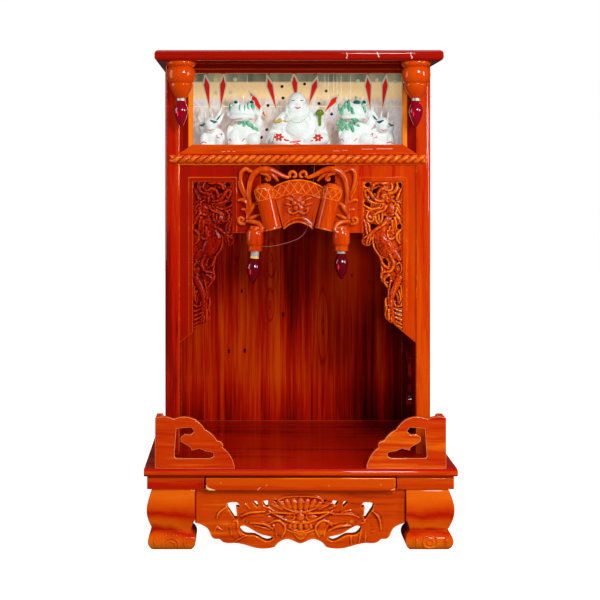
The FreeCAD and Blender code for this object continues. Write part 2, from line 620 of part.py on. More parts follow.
def make_dragons():
    inner = value(WINDOW_INNER)
    width = value(WINDOW_OUTER) - inner
    height = value("arch_tail_drop - arch_tail_slope - window_head")
    for name, side in SIDES:
        outline = edges(*[scaled(run, width, height, side, side * inner) for run in DRAGON_EDGE])
        holes = [blob(scaled(hole, width, height, side, side * inner)) for hole in DRAGON_HOLES]
        pieces = [pad("dragon_board_" + name, "XZ_Plane", [outline] + holes, "dragon_thickness")]
        for number, form in enumerate(DRAGON_FORMS, 1):
            ring = blob(scaled(form, width, height, side, side * inner))
            pieces.append(pad(f"dragon_form_{name}_{number}", "XZ_Plane", [ring],
                              "dragon_thickness + dragon_relief"))
        dragon = joined("dragon_" + name, pieces)
        keep(place(dragon, "0", f"{PANEL_FRONT} - dragon_proud + dragon_thickness",
                   f"{ARCH_TOP} - window_head"))


# Rope moulding: three strands twisted on a straight bar, faceted, and planed flat behind.
STRANDS, STEPS_PER_LEAD = 3, 9
VALLEY_SHARE, SHOULDER_SHARE, SHOULDER_TURN = 0.62, 0.97, 0.4


def rope_ring(x, turn):
    """The corners of the twisted bar's section at one place along it."""
    radius = value("rope_diameter / 2")
    half = math.pi / STRANDS
    corners = ((VALLEY_SHARE, -half), (SHOULDER_SHARE, -SHOULDER_TURN),
               (SHOULDER_SHARE, SHOULDER_TURN))
    return [V(x, share * radius * math.cos(turn + 2 * half * strand + off),
              share * radius * math.sin(turn + 2 * half * strand + off))
            for strand in range(STRANDS) for share, off in corners]


def make_rope():
    half = f"({CASE_HALF} - rope_end_inset)"
    length, lead, radius = 2 * value(half), value("rope_lead"), value("rope_diameter / 2")
    steps = math.ceil(length / lead * STEPS_PER_LEAD)
    rings = [rope_ring(length * i / steps, 2 * math.pi * length * i / steps / lead)
             for i in range(steps + 1)]
    faces = [Part.Face(Part.makePolygon(ring + ring[:1])) for ring in (rings[0], rings[-1])]
    for near, far in zip(rings, rings[1:]):
        for i in range(len(near)):
            j = (i + 1) % len(near)
            for corner in ((near[i], near[j], far[j]), (near[i], far[j], far[i])):
                faces.append(Part.Face(Part.makePolygon([*corner, corner[0]])))
    twist = Part.Solid(Part.Shell(faces))
    if twist.Volume < 0:
        twist.reverse()
    planed = Part.makeBox(length, radius, 2 * radius, V(0, radius - value("rope_flat"), -radius))
    rope = doc.addObject("Part::Feature", "rope_moulding")
    rope.Shape = twist.cut(planed)
    keep(place(rope, "-" + half, f"{CASE_FRONT} - rope_diameter / 2 + rope_flat",
               f"{ARCH_TOP} + cross_rail_height / 2"))


# Valance: a pierced scroll board, a fan panel and two rolls, carved from one block.
# Shares of the half width and of the height, down from the top.
SCROLL_EDGE = (
    [(0.0, -0.165), (0.09, -0.04), (0.155, -0.11)],
    [(0.155, -0.11), (0.27, -0.115), (0.395, -0.05), (0.51, -0.012), (0.61, -0.012),
     (0.7, -0.06)],
    [(0.7, -0.06), (0.73, -0.09), (0.83, 0.0), (0.93, -0.06)],
    [(0.93, -0.06), (0.955, -0.19), (0.93, -0.32), (0.865, -0.445)],
    [(0.865, -0.445), (0.93, -0.49), (0.995, -0.54), (0.95, -0.64), (0.88, -0.73)],
    [(0.88, -0.73), (1.0, -0.8), (0.86, -0.875)],
    [(0.86, -0.875), (0.82, -0.9)],
    [(0.82, -0.9), (0.59, -0.9)],
    [(0.59, -0.9), (0.56, -0.945)],
    [(0.56, -0.945), (0.25, -0.945)],
)
FAN_BOTTOM_SHARES = (0.25, -0.945), (0.0, -0.86), (-0.25, -0.945)
SCROLL_HOLES = (
    [(0.15, -0.3), (0.14, -0.185), (0.29, -0.165), (0.43, -0.175), (0.47, -0.24), (0.36, -0.38)],
    [(0.855, -0.1), (0.815, -0.13), (0.82, -0.25), (0.835, -0.38), (0.87, -0.28), (0.885, -0.18)],
    [(0.735, -0.36), (0.69, -0.44), (0.7, -0.56), (0.76, -0.5)],
)
FAN_TOP_SHARE, ROLL_TOP_SHARES, ROLL_FOOT_SHARES = -0.2, (0.57, -0.305), (0.413, -0.945)


def make_valance():
    half, height = value(VALANCE_HALF), value("valance_height")
    radius = value("roll_radius")
    right = [scaled(run, half, height) for run in SCROLL_EDGE]
    left = [scaled(run, half, height, LEFT)[::-1] for run in reversed(SCROLL_EDGE)]
    holes = [blob(scaled(hole, half, height, side)) for hole in SCROLL_HOLES
             for side in (LEFT, RIGHT)]
    outline = edges(*right, scaled(FAN_BOTTOM_SHARES, half, height), *left)
    scrolls = pad("valance_scrolls", "XZ_Plane", [outline] + holes, "valance_thickness")
    fan_ring = edges(
        scaled([(0.4, -0.3), (0.0, FAN_TOP_SHARE), (-0.4, -0.3)], half, height),
        scaled([(-0.4, -0.3), (-0.25, -0.945)], half, height),
        scaled(FAN_BOTTOM_SHARES[::-1], half, height),
        scaled([(0.25, -0.945), (0.4, -0.3)], half, height))
    fan = pad("valance_fan", "XZ_Plane", [fan_ring], "valance_thickness + fan_proud")
    pieces = [scrolls, fan]
    for name, side in SIDES:
        (top, foot) = scaled([ROLL_TOP_SHARES, ROLL_FOOT_SHARES], half, height, side)
        lean = math.degrees(math.atan2(top[0] - foot[0], top[1] - foot[1]))
        length = math.dist(top, foot)
        roll = turned("valance_roll_" + name, edges(
            [(0, 0), (radius, 0)], [(radius, 0), (radius, length)],
            [(radius, length), (radius * 0.7, length + 0.45 * radius), (0, length + 0.62 * radius)],
            [(0, length + 0.62 * radius), (0, 0)]))
        roll.Placement = FreeCAD.Placement(
            V(foot[0], -radius - value("roll_proud"), foot[1]),
            FreeCAD.Rotation(V(0, 1, 0), lean))
        pieces.append(roll)
        seat = doc.addObject("Part::Cylinder", "valance_pad_" + name)
        seat.setExpression("Radius", named("cup_radius * 0.8"))
        seat.setExpression("Height", named("cup_pad_height"))
        place(seat, CUP_OFFSET if side == RIGHT else "-" + CUP_OFFSET, "-roll_radius",
              f"valance_drop - {VALANCE_SOLE}")
        pieces.append(seat)
    valance = joined("valance", pieces)
    keep(place(valance, "0", PANEL_FRONT, f"{ARCH_TOP} - valance_drop"))


# Turned pendants under the top board and turned lamp cups under the valance.
PENDANT_SECTION = (
    [(0.0, 0.0), (1.0, 0.0)], [(1.0, 0.0), (0.97, -0.1), (0.8, -0.15)],
    [(0.8, -0.15), (0.93, -0.22), (0.985, -0.36), (0.93, -0.5), (0.8, -0.585)],
    [(0.8, -0.585), (0.76, -0.6)], [(0.76, -0.6), (0.79, -0.625)],
    [(0.79, -0.625), (0.72, -0.75), (0.55, -0.88), (0.34, -1.0)],
    [(0.34, -1.0), (0.0, -1.0)], [(0.0, -1.0), (0.0, 0.0)],
)
CUP_SECTION = (
    [(0.0, 0.0), (0.62, 0.0)], [(0.62, 0.0), (0.66, -0.1), (0.9, -0.2)],
    [(0.9, -0.2), (1.0, -0.35), (1.0, -0.55), (0.95, -0.72), (0.8, -0.8)],
    [(0.8, -0.8), (0.82, -1.0)], [(0.82, -1.0), (0.0, -1.0)], [(0.0, -1.0), (0.0, 0.0)],
)
LAMP_SECTION = (
    [(0.0, 0.0), (0.5, 0.0)],
    [(0.5, 0.0), (0.72, -0.14), (0.93, -0.28), (1.0, -0.42), (0.93, -0.6), (0.68, -0.8),
     (0.35, -0.95), (0.0, -1.0)],
    [(0.0, -1.0), (0.0, 0.0)],
)


def section(runs, radius, height):
    return edges(*[scaled(run, value(radius), value(height)) for run in runs])


def make_pendants_and_lamps():
    caps, bulbs = [], []
    cup_top = f"({ARCH_TOP} - {VALANCE_SOLE} - cup_gap)"
    for name, side in SIDES:
        sign = "" if side == RIGHT else "-"
        pendant = turned("pendant_" + name, section(PENDANT_SECTION, "pendant_radius",
                                                    "pendant_height"))
        keep(place(pendant, sign + PENDANT_OFFSET, f"{CASE_FRONT} - pendant_reach", CASE_TOP))
        cup = turned("lamp_cup_" + name, section(CUP_SECTION, "cup_radius", "cup_height"))
        keep(place(cup, sign + CUP_OFFSET, f"{PANEL_FRONT} - roll_radius", cup_top))
        lower_cap = "loose_cap_height" if side == LEFT else "cap_height"
        for level, x, y, z, cap_height in (
                ("upper", PENDANT_OFFSET, f"{CASE_FRONT} - pendant_reach",
                 f"({CASE_TOP} - pendant_height)", "cap_height"),
                ("lower", CUP_OFFSET, f"{PANEL_FRONT} - roll_radius",
                 f"({cup_top} - cup_height)", lower_cap)):
            cap = doc.addObject("Part::Cylinder", f"cap_{level}_{name}")
            cap.setExpression("Radius", named("cap_radius"))
            cap.setExpression("Height", named(cap_height))
            caps.append(place(cap, sign + x, y, f"{z} - {cap_height}"))
            bulb = turned(f"bulb_{level}_{name}", section(LAMP_SECTION, "lamp_radius",
                                                          "lamp_length"))
            bulbs.append(place(bulb, sign + x, y, f"{z} - {cap_height}"))
    keep(grouped("lamp_caps", caps))
    keep(grouped("lamp_bulbs", bulbs))


# Lamp wire: hangs from the left lamp's cap and goes up behind the fan panel to the cross rail.
# The first point is set from the cup; the others are out from the middle, as shares of the cups'
# offset, and then from the panels' front and the top of the arch.
WIRE_SHARES = [-0.71, -0.542, -0.37, -0.167, 0.007, 0.138, 0.225, 0.29, 0.355, 0.362, 0.399]
WIRE_ROUTE = [(-15, -131.4), (-13.5, -130.2), (-11, -127.7), (-7.5, -124), (-4, -119.5),
              (0, -112.5), (4, -103), (5.5, -88), (6, -62), (6.5, -30), (7, 0)]
WIRE_EXIT_RISE = 0.4
ARC_SHARE = 0.45
CUP_NECK_SHARE = 0.8


def make_wire():
    offset = value(CUP_OFFSET)
    neck = value("wire_end_gap") - offset + CUP_NECK_SHARE * value("cup_radius")
    points = [V(share * offset, *rest) for share, rest in zip(WIRE_SHARES, WIRE_ROUTE)]
    points.insert(0, V(neck, points[0].y, points[0].z + WIRE_EXIT_RISE))
    radius = value("wire_diameter / 2")
    pieces, at, radii = [], points[0], []
    for before, corner, after in zip(points, points[1:], points[2:]):
        inward, onward = corner - before, after - corner
        turn = inward.getAngle(onward)
        run = ARC_SHARE * min(inward.Length, onward.Length)
        radii.append(run / math.tan(turn / 2))
        start = corner - V(inward).normalize() * run
        end = corner + V(onward).normalize() * run
        bisector = (V(onward).normalize() - V(inward).normalize()).normalize()
        sagitta = radii[-1] * (1 / math.cos(turn / 2) - 1)
        pieces.append(Part.LineSegment(at, start).toShape())
        pieces.append(Part.Arc(start, corner + bisector * sagitta, end).toShape())
        at = end
    pieces.append(Part.LineSegment(at, points[-1]).toShape())
    path = Part.Wire(pieces)
    circle = Part.Wire([Part.makeCircle(radius, points[0], points[1] - points[0])])
    tube = path.makePipeShell([circle], True, False)
    print("wire radii", [round(r, 1) for r in radii])
    print("wire length", round(path.Length, 1), "volume ratio",
          round(tube.Volume / (math.pi * radius ** 2 * path.Length), 4))
    wire = doc.addObject("Part::Feature", "lamp_wire")
    wire.Shape = tube
    keep(place(wire, "0", PANEL_FRONT, ARCH_TOP))


# Porcelain set behind the glass, in plain rounded masses.
def egg(label, x, y, z, wide, deep, tall):
    """An ellipsoid by its centre and its three full sizes."""
    ball = doc.addObject("Part::Ellipsoid", label)
    ball.Radius1, ball.Radius2, ball.Radius3 = tall / 2, wide / 2, deep / 2
    ball.Placement = FreeCAD.Placement(V(x, y, z), FreeCAD.Rotation())
    return ball


def on_shelf(label, masses, reach):
    """Fused masses, cut flat where they stand."""
    fuse = joined(label + "_masses", masses)
    under = doc.addObject("Part::Box", label + "_under")
    under.Length, under.Width, under.Height = 2 * reach, 2 * reach, reach
    under.Placement = FreeCAD.Placement(V(-reach, -reach, -reach), FreeCAD.Rotation())
    cut = doc.addObject("Part::Cut", label)
    cut.Base, cut.Tool = fuse, under
    return cut


def make_seated_figure():
    wide, deep = value(f"2 * {CASE_HALF} * figure_width_share"), value("figure_depth")
    tall = value("figure_height")
    masses = [
        egg("figure_lap", 0, 0, 0.12 * tall, wide, deep, 0.34 * tall),
        egg("figure_body", 0, 0.04 * deep, 0.4 * tall, 0.66 * wide, 0.8 * deep, 0.66 * tall),
        egg("figure_head", 0, 0, 0.81 * tall, 0.38 * wide, 0.56 * deep, 0.38 * tall),
    ]
    for name, side in SIDES:
        masses.append(egg("figure_arm_" + name, side * 0.34 * wide, -0.05 * deep, 0.38 * tall,
                          0.24 * wide, 0.5 * deep, 0.5 * tall))
    figure = on_shelf("seated_figure", masses, wide)
    keep(place(figure, "0", f"{FRAME_BACK} + figure_distance", SHELF_TOP))


def make_beasts():
    case = value(f"2 * {CASE_HALF}")
    wide, offset, pitch = [case * value(share) for share in (
        "beast_width_share", "beast_offset_share", "beast_pitch_share")]
    deep, tall = value("beast_depth"), value("beast_height")
    masses = []
    for name, side in SIDES:
        for number in range(2):
            x = side * (offset + number * pitch)
            label = f"beast_{name}_{number + 1}"
            masses.append(egg(label + "_body", x + side * 0.1 * wide, 0, 0.3 * tall,
                              0.85 * wide, deep, 0.62 * tall))
            masses.append(egg(label + "_chest", x - side * 0.12 * wide, 0, 0.34 * tall,
                              0.6 * wide, 0.9 * deep, 0.68 * tall))
            masses.append(egg(label + "_head", x - side * 0.15 * wide, -0.05 * deep, 0.76 * tall,
                              0.56 * wide, 0.8 * deep, 0.46 * tall))
    beasts = on_shelf("porcelain_beasts", masses, offset + 2 * pitch)
    keep(place(beasts, "0", f"{FRAME_BACK} + figure_distance", SHELF_TOP))


make_deck()
for end_name, end_sign in (("front", -1), ("back", 1)):
    for side_name, side_sign in SIDES:
        make_leg(f"leg_{end_name}_{side_name}", side_sign, end_sign)
make_front_apron()
make_plain_aprons()
make_base_rails()
make_tray()
make_runners()
make_fences()
make_stiles()
make_walls()
make_front_rails()
make_glass_frame()
make_display()
make_top_board()
make_arch_panels()
make_dragons()
make_rope()
make_valance()
make_pendants_and_lamps()
make_wire()
make_seated_figure()
make_beasts()
doc.recompute()

for item in doc.Objects:
    if "Invalid" in item.State or "Error" in item.State:
        raise RuntimeError(f"{item.Label} failed to compute")
for piece in subparts:
    if piece.Shape.isNull() or not piece.Shape.isValid() or not piece.Shape.Solids:
        raise RuntimeError(f"{piece.Label} has no valid solid")

os.makedirs("parts", exist_ok=True)
for piece in subparts:
    piece.Shape.exportStep(f"parts/{piece.Label}.step")
print(len(subparts), "sub-parts written")
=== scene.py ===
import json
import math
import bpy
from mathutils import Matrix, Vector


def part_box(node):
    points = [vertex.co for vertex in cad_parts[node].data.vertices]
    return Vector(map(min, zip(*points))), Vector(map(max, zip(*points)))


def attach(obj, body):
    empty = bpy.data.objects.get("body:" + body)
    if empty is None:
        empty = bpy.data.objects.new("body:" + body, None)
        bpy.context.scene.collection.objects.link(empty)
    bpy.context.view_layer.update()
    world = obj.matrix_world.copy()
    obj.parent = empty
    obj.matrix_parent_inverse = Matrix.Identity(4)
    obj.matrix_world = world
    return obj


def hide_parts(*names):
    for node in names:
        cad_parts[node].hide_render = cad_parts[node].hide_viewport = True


bl_info = {
    "name": "Altar Cabinet",
    "version": (1, 0, 0),
    "blender": (4, 5, 0),
    "location": "View3D > Sidebar > Cabinet",
    "description": "Dresses the cabinet's solids in lacquer, carving, lamps, porcelain and glass",
    "category": "Object",
}

import bmesh
import bpy
from mathutils import Matrix, Vector
from mathutils.bvhtree import BVHTree

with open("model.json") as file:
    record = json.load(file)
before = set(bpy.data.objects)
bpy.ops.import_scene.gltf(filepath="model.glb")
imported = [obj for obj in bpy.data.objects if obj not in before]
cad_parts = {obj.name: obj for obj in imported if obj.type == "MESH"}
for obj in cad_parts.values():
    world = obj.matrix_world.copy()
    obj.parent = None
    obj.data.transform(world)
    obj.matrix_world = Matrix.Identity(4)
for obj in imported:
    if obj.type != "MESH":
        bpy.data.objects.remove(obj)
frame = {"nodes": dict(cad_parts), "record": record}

MM = 0.001
LEFT, RIGHT = -1, 1


# Places taken from the solids
def low(node):
    return Vector(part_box(node)[0])


def high(node):
    return Vector(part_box(node)[1])


ARCH_TOP = low("cross_rail").z
PANEL_FRONT = low("valance").y + 0.031
SHELF_TOP = high("shelf").z


# Settings
class CabinetFinish(bpy.types.PropertyGroup):
    """Colours of the lacquers, glass and porcelain."""

    def tint(name, description, default):
        return bpy.props.FloatVectorProperty(name=name, description=description, default=default,
                                             subtype="COLOR", size=3, min=0, max=1)

    # In the cuts of the carvings this red is painted shade
    shadow_red: tint("Shadow red", "Lacquer in the pores and crevices", (0.05, 0.001, 0.0005))
    deep_red: tint("Deep red", "Lacquer on the inside of the niche", (0.2, 0.003, 0.0008))
    lacquer_red: tint("Lacquer red", "Lacquer on the boards", (0.43, 0.007, 0.0006))
    amber: tint("Amber", "Lacquer on the legs, fences and frames", (0.61, 0.06, 0.0006))
    # This orange on edges is partly worn lacquer and partly painted highlight
    edge_orange: tint("Edge orange", "Lacquer worn thin over an edge", (0.88, 0.21, 0.006))
    bare_wood: tint("Bare wood", "Wood where it has broken", (0.72, 0.46, 0.2))
    ruby: tint("Ruby", "Glass of the lamps", (0.25, 0.0006, 0.011))
    # A painted red reflection inside the lamp glass, made to glow
    glow: tint("Glow", "Light seen in the lamps", (0.8, 0.01, 0.03))
    porcelain: tint("Porcelain", "White glaze", (0.9, 0.9, 0.9))
    gold: tint("Gold", "Mirror band behind the figures", (1.0, 0.65, 0.3))
    ray_red: tint("Ray red", "Red of the painted rays", (0.75, 0.012, 0.006))


class CabinetMake(bpy.types.PropertyGroup):
    """Sizes of the details that the solids leave out."""

    def length(name, description, default):
        return bpy.props.FloatProperty(name=name, description=description, default=default,
                                       subtype="DISTANCE", unit="LENGTH", precision=5, min=0)

    edge: length("Edge", "Round on the edges of the boards", 0.9 * MM)
    thin_edge: length("Thin edge", "Round on the edges of thin strips", 0.5 * MM)
    carving_step: length("Carving step", "Size of the cells the carvings are made in", 0.9 * MM)
    rope_strand: length("Rope strand", "Radius of one strand of the rope moulding", 3.7 * MM)
    rope_lead: length("Rope lead", "Length of one turn of the rope moulding", 26 * MM)
    wire: length("Wire", "Diameter of the lamp wire", 1 * MM)


# Shader helpers
def by_math(operation, reflected=False):
    """A method that joins a Signal and another value through a Math node."""
    def join(signal, other):
        pair = (other, signal) if reflected else (signal, other)
        return signal.nodes.add("ShaderNodeMath", {"operation": operation}, dict(enumerate(pair)))
    return join


class Signal:
    """A node's output, with arithmetic that adds Math nodes."""

    def __init__(self, nodes, socket):
        self.nodes, self.socket = nodes, socket

    __add__, __radd__ = by_math("ADD"), by_math("ADD", reflected=True)
    __sub__, __rsub__ = by_math("SUBTRACT"), by_math("SUBTRACT", reflected=True)
    __mul__, __rmul__ = by_math("MULTIPLY"), by_math("MULTIPLY", reflected=True)
    __truediv__, __rtruediv__ = by_math("DIVIDE"), by_math("DIVIDE", reflected=True)
    __gt__, __lt__ = by_math("GREATER_THAN"), by_math("LESS_THAN")


class Nodes:
    """A node tree being made: add puts in a node, and sets or links its inputs."""

    def __init__(self, tree):
        self.tree = tree

    def add(self, kind, settings=None, inputs=None, output=0):
        node = self.tree.nodes.new(kind)
        settings = dict(settings or {})
        stops = settings.pop("stops", ())
        for key, setting in settings.items():
            setattr(node, key, setting)
        if stops:
            elements = node.color_ramp.elements
            while len(elements) < len(stops):
                elements.new(1)
            for element, (position, colour) in zip(elements, stops):
                element.position, element.color = position, (*colour, 1)
        for key, wanted in (inputs or {}).items():
            self.feed(node.inputs[key], wanted)
        return Signal(self, node.outputs[output])

    def feed(self, socket, wanted):
        if isinstance(wanted, Signal):
            self.tree.links.new(wanted.socket, socket)
        elif socket.type == "RGBA" and len(wanted) == 3:
            socket.default_value = (*wanted, 1)
        else:
            socket.default_value = wanted

    def ray(self, kind):
        """1 for the rays of one kind, such as Camera."""
        return self.add("ShaderNodeLightPath", output=f"Is {kind} Ray")


class Finish(Nodes):
    """A material being made, on Object coordinates."""

    def __init__(self, name):
        self.material = bpy.data.materials.new(name)
        self.material.use_nodes = True
        super().__init__(self.material.node_tree)
        self.shader = self.tree.nodes["Principled BSDF"]
        self.place = self.add("ShaderNodeTexCoord", output="Object")

    def set(self, **inputs):
        for key, wanted in inputs.items():
            self.feed(self.shader.inputs[key.replace("_", " ")], wanted)
        return self

    def lacquer(self, shade, gloss, coat, coat_gloss, **more):
        """A colour whose only shine is that of its clear coat."""
        return self.set(Base_Color=shade, Roughness=gloss, Specular_IOR_Level=0,
                        Coat_Weight=coat, Coat_Roughness=coat_gloss, **more)

    def glaze(self, shade, gloss, **more):
        return self.set(Base_Color=shade, Roughness=gloss, Specular_IOR_Level=0.1,
                        Coat_Weight=0.5, Coat_Roughness=0.04, **more)

    def ramp(self, factor, *stops):
        return self.add("ShaderNodeValToRGB", {"stops": stops}, {"Fac": factor}, "Color")

    def fade(self, factor, start, stop):
        """0 where the factor is at start or before, and 1 at stop or past it."""
        return self.add("ShaderNodeMapRange", {"clamp": True},
                        {"Value": factor, "From Min": start, "From Max": stop})

    def mix(self, factor, first, second):
        return self.add("ShaderNodeMix", {"data_type": "RGBA"}, {0: factor, 6: first, 7: second}, 2)

    def noise(self, scale, stretch=(1, 1, 1), detail=4, roughness=0.55, distortion=0):
        spread = self.add("ShaderNodeMapping", {}, {"Vector": self.place, "Scale": stretch})
        return self.add("ShaderNodeTexNoise", {}, {
            "Vector": spread, "Scale": scale, "Detail": detail, "Roughness": roughness,
            "Distortion": distortion})

    def scales(self, scale):
        """Rounded cells: high in their middles and low along their edges."""
        return 1 - self.add("ShaderNodeTexVoronoi", {}, {"Vector": self.place, "Scale": scale},
                            "Distance")

    def axis(self, name):
        return self.add("ShaderNodeSeparateXYZ", {}, {"Vector": self.place}, name)

    def reach(self, off, rise):
        """The distance from a place, from its two parts."""
        return self.add("ShaderNodeMath", {"operation": "SQRT"}, {0: off * off + rise * rise})

    def bump(self, height, strength, distance):
        return self.set(Normal=self.add("ShaderNodeBump", {}, {
            "Height": height, "Strength": strength, "Distance": distance}))


# Back wall, in millimetres: planks as (edge, change of tone), grain figures as (across, up, wide,
# tall, pitch of their rings) and knots as (across, up, size)
PLANKS = (-138, 0.03), (-85, -0.02), (-21, -0.05), (11, 0.03), (80, -0.02), (130, -0.03)
FIGURES = ((-36, 424, 20, 80, 18), (-38, 338, 16, 60, 16), (-100, 470, 16, 90, 14),
           (60, 300, 18, 120, 14))
KNOTS = ((-114.6, 253, 3), (-85.6, 254, 3.2), (110, 392, 2.8), (141.5, 380, 2.2), (-91, 363, 2.4),
         (-15.5, 320, 3.2))
# Painted shade low on it and a painted pool of light at its upper right, as (none there, all there)
SHADED_UP = (205 * MM, 130 * MM)
LIT_ACROSS, LIT_UP = (30 * MM, 110 * MM), (290 * MM, 420 * MM)
# Bands of the halo panel in millimetres above the shelf, and the reach of the frame's pale lip
LINE, GOLD_FROM, HEAD_FROM = (70.4, 72), (78, 90), (111, 114)
FRAME_LIP = 176.4 * MM

GRAINS = {"X": (0.06, 1, 1), "Y": (1, 0.06, 1), "Z": (1, 1, 0.06)}


def wood(name, grain, dark, middle, light, gloss=0.35, streak=0.4, lip=None):
    """Stained wood under clear lacquer, its grain along one axis.

    A lip is a colour for what lies nearer to the middle than a distance."""
    finish = Finish(name)
    figure = finish.noise(26, GRAINS[grain], 3, 0.5, 0.6)
    fibre = finish.noise(220, GRAINS[grain], 5, 0.65)
    tone = figure * 0.55 + fibre * 0.28 + finish.noise(5, detail=2, roughness=0.5) * 0.17
    shade = finish.ramp(tone, (0.5 - 0.16 * streak, dark), (0.5 - 0.03 * streak, middle),
                        (0.5 + 0.05 * streak, middle), (0.5 + 0.2 * streak, light))
    if lip:
        reach, colour = lip
        across = finish.axis("X")
        shade = finish.mix((across > -reach) * (across < reach), shade, colour)
    finish.lacquer(shade, finish.fade(fibre, 0.2, 0.9) * 0.15 + gloss, 0.8, 0.05, Coat_IOR=1.45)
    finish.bump(fibre, 0.12, 0.0006)
    return finish.material


def carved(name, crevice, body, edge, coat=0.8, scaly=False, grain=(1, 1, 0.12), seam=None):
    """Lacquer over carving: painted shade in the cuts, and pale ridges that are partly rubbed and
    partly painted highlight; scaly if asked.

    Beyond a seam's distance from the middle it is as dark as in the cuts."""
    finish = Finish(name)
    ridge = finish.add("ShaderNodeNewGeometry", output="Pointiness")
    fibre = finish.noise(110, grain, 4, 0.6)
    level = ridge + (fibre - 0.5) * 0.12 + (finish.noise(16, detail=2) - 0.5) * 0.04
    if scaly:
        scales = finish.scales(300)
        level = level + (scales - 0.55) * 0.06
        finish.bump(fibre * 0.3 + scales, 0.6, 0.0008)
    else:
        finish.bump(fibre, 0.15, 0.0005)
    # The ramp paints shade into the cuts, and pale wear with a painted highlight onto the ridges
    shade = finish.ramp(level, (0.455, crevice), (0.494, body), (0.507, body), (0.55, edge))
    if seam:
        across = finish.axis("X")
        shade = finish.mix((across > seam) + (across < -seam), shade, crevice)
    return finish.lacquer(shade, 0.35, coat, 0.06).material


def plain(name, tint, gloss, shine=0.0, metal=0.0):
    """One colour under a glaze, with a painted glow of a given strength that brightens it."""
    return Finish(name).glaze(tint, gloss, Metallic=metal, Emission_Color=tint,
                              Emission_Strength=shine).material


def blended(first, second, share):
    """A colour between two, at a share of the way from the first."""
    return tuple((1 - share) * a + share * b for a, b in zip(first, second))


def leg_wood(name, tints):
    """Bright lacquer in bands up the leg: a red band round its belly, a painted reflection on its
    bulge, and a darker top of the foot.
    """
    finish = Finish(name)
    cloud = finish.noise(14, detail=3, roughness=0.6)
    fibre = finish.noise(200, GRAINS["X"], 4, 0.6)
    warp = finish.axis("Z") / MM + (cloud - 0.5) * 34 + (fibre - 0.5) * 6
    red, amber, edge = tints.lacquer_red[:], tints.amber[:], tints.edge_orange[:]
    bright, pale = blended(amber, edge, 0.28), blended(amber, edge, 0.8)
    # The red band at the belly is a painted reflection
    shade = finish.ramp(warp / 100, (0.0, pale), (0.2, amber), (0.29, red), (0.37, bright),
                        (0.46, amber), (0.55, red), (0.68, amber), (0.8, bright))
    return finish.lacquer(shade, 0.4, 0.3, 0.08).material


def back_wall(tints):
    """Planks with an upright grain, dark lines, ring figures and a few knots, with painted shade
    low down and a painted pool of light at the upper right.
    """
    finish = Finish("back_wall_lacquer")
    across, up = finish.axis("X"), finish.axis("Z")
    waver = finish.noise(3, (1, 1, 0.5), 2, 0.5) - 0.5
    lines = finish.noise(34, (1, 1, 0.035), 3, 0.6, 0.4)
    fibre = finish.noise(240, (1, 1, 0.03), 4, 0.6)
    threads = finish.noise(46, (1, 1, 0.02), 2, 0.5, 0.3)
    lit = finish.fade(across, *LIT_ACROSS) * finish.fade(up, *LIT_UP)
    tone = lines * 0.34 + fibre * 0.3 + finish.noise(6, (1, 1, 0.6), 1) * 0.2 + 0.092
    tone = tone - finish.fade(threads, 0.58, 0.64) * 0.06
    # Painted shade darker towards the foot of the wall, and a painted pool of light at its upper
    # right
    tone = tone - finish.fade(up, *SHADED_UP) * 0.07 + lit * 0.04
    for place, step in PLANKS:
        tone = tone + (across > place * MM) * step
    for place, level, wide, tall, pitch in FIGURES:
        reach = finish.reach((across - place * MM + waver * 0.02) / (wide * MM),
                             (up - level * MM) / (tall * MM))
        rings = finish.add("ShaderNodeMath", {"operation": "SINE"}, {0: reach * pitch})
        tone = tone - finish.fade(rings, 0.55, 1) * finish.fade(reach, 1, 0.45) * 0.06
    for place, level, size in KNOTS:
        reach = finish.reach(across - place * MM, (up - level * MM) * 0.6)
        tone = tone - finish.fade(reach, size * MM, 0.3 * size * MM) * 0.3
    shade = finish.ramp(tone, (0.36, tints.shadow_red[:]), (0.45, tints.deep_red[:]),
                        (0.52, tints.lacquer_red[:]), (0.62, tints.amber[:]))
    # The painted pool of light is also mixed towards a bright red
    shade = finish.mix(lit * 0.5, shade, (0.9, 0.035, 0.001))
    finish.lacquer(shade, 0.4, 0.1, 0.12)
    finish.bump(fibre, 0.1, 0.0005)
    return finish.material


def pane():
    """Clear glass that lets lamp light through: see-through, with a reflection by angle."""
    finish = Finish("clear_pane")
    finish.tree.nodes.remove(finish.shader)
    angle = finish.add("ShaderNodeFresnel", {}, {"IOR": 1.45})
    clear = finish.add("ShaderNodeBsdfTransparent", {}, {"Color": (0.97, 0.99, 0.98)})
    shine = finish.add("ShaderNodeBsdfGlossy", {}, {"Roughness": 0.02})
    both = finish.add("ShaderNodeMixShader", {}, {0: angle, 1: clear, 2: shine})
    finish.feed(finish.tree.nodes["Material Output"].inputs["Surface"], both)
    return finish.material


def ruby(name, tint):
    """Stained lamp glass, with a faint painted glow from within."""
    return Finish(name).set(Base_Color=tint, Roughness=0.04, Transmission_Weight=0.12, IOR=1.4,
                            Emission_Color=tint, Emission_Strength=0.1, Coat_Weight=1.0,
                            Coat_Roughness=0.02).material


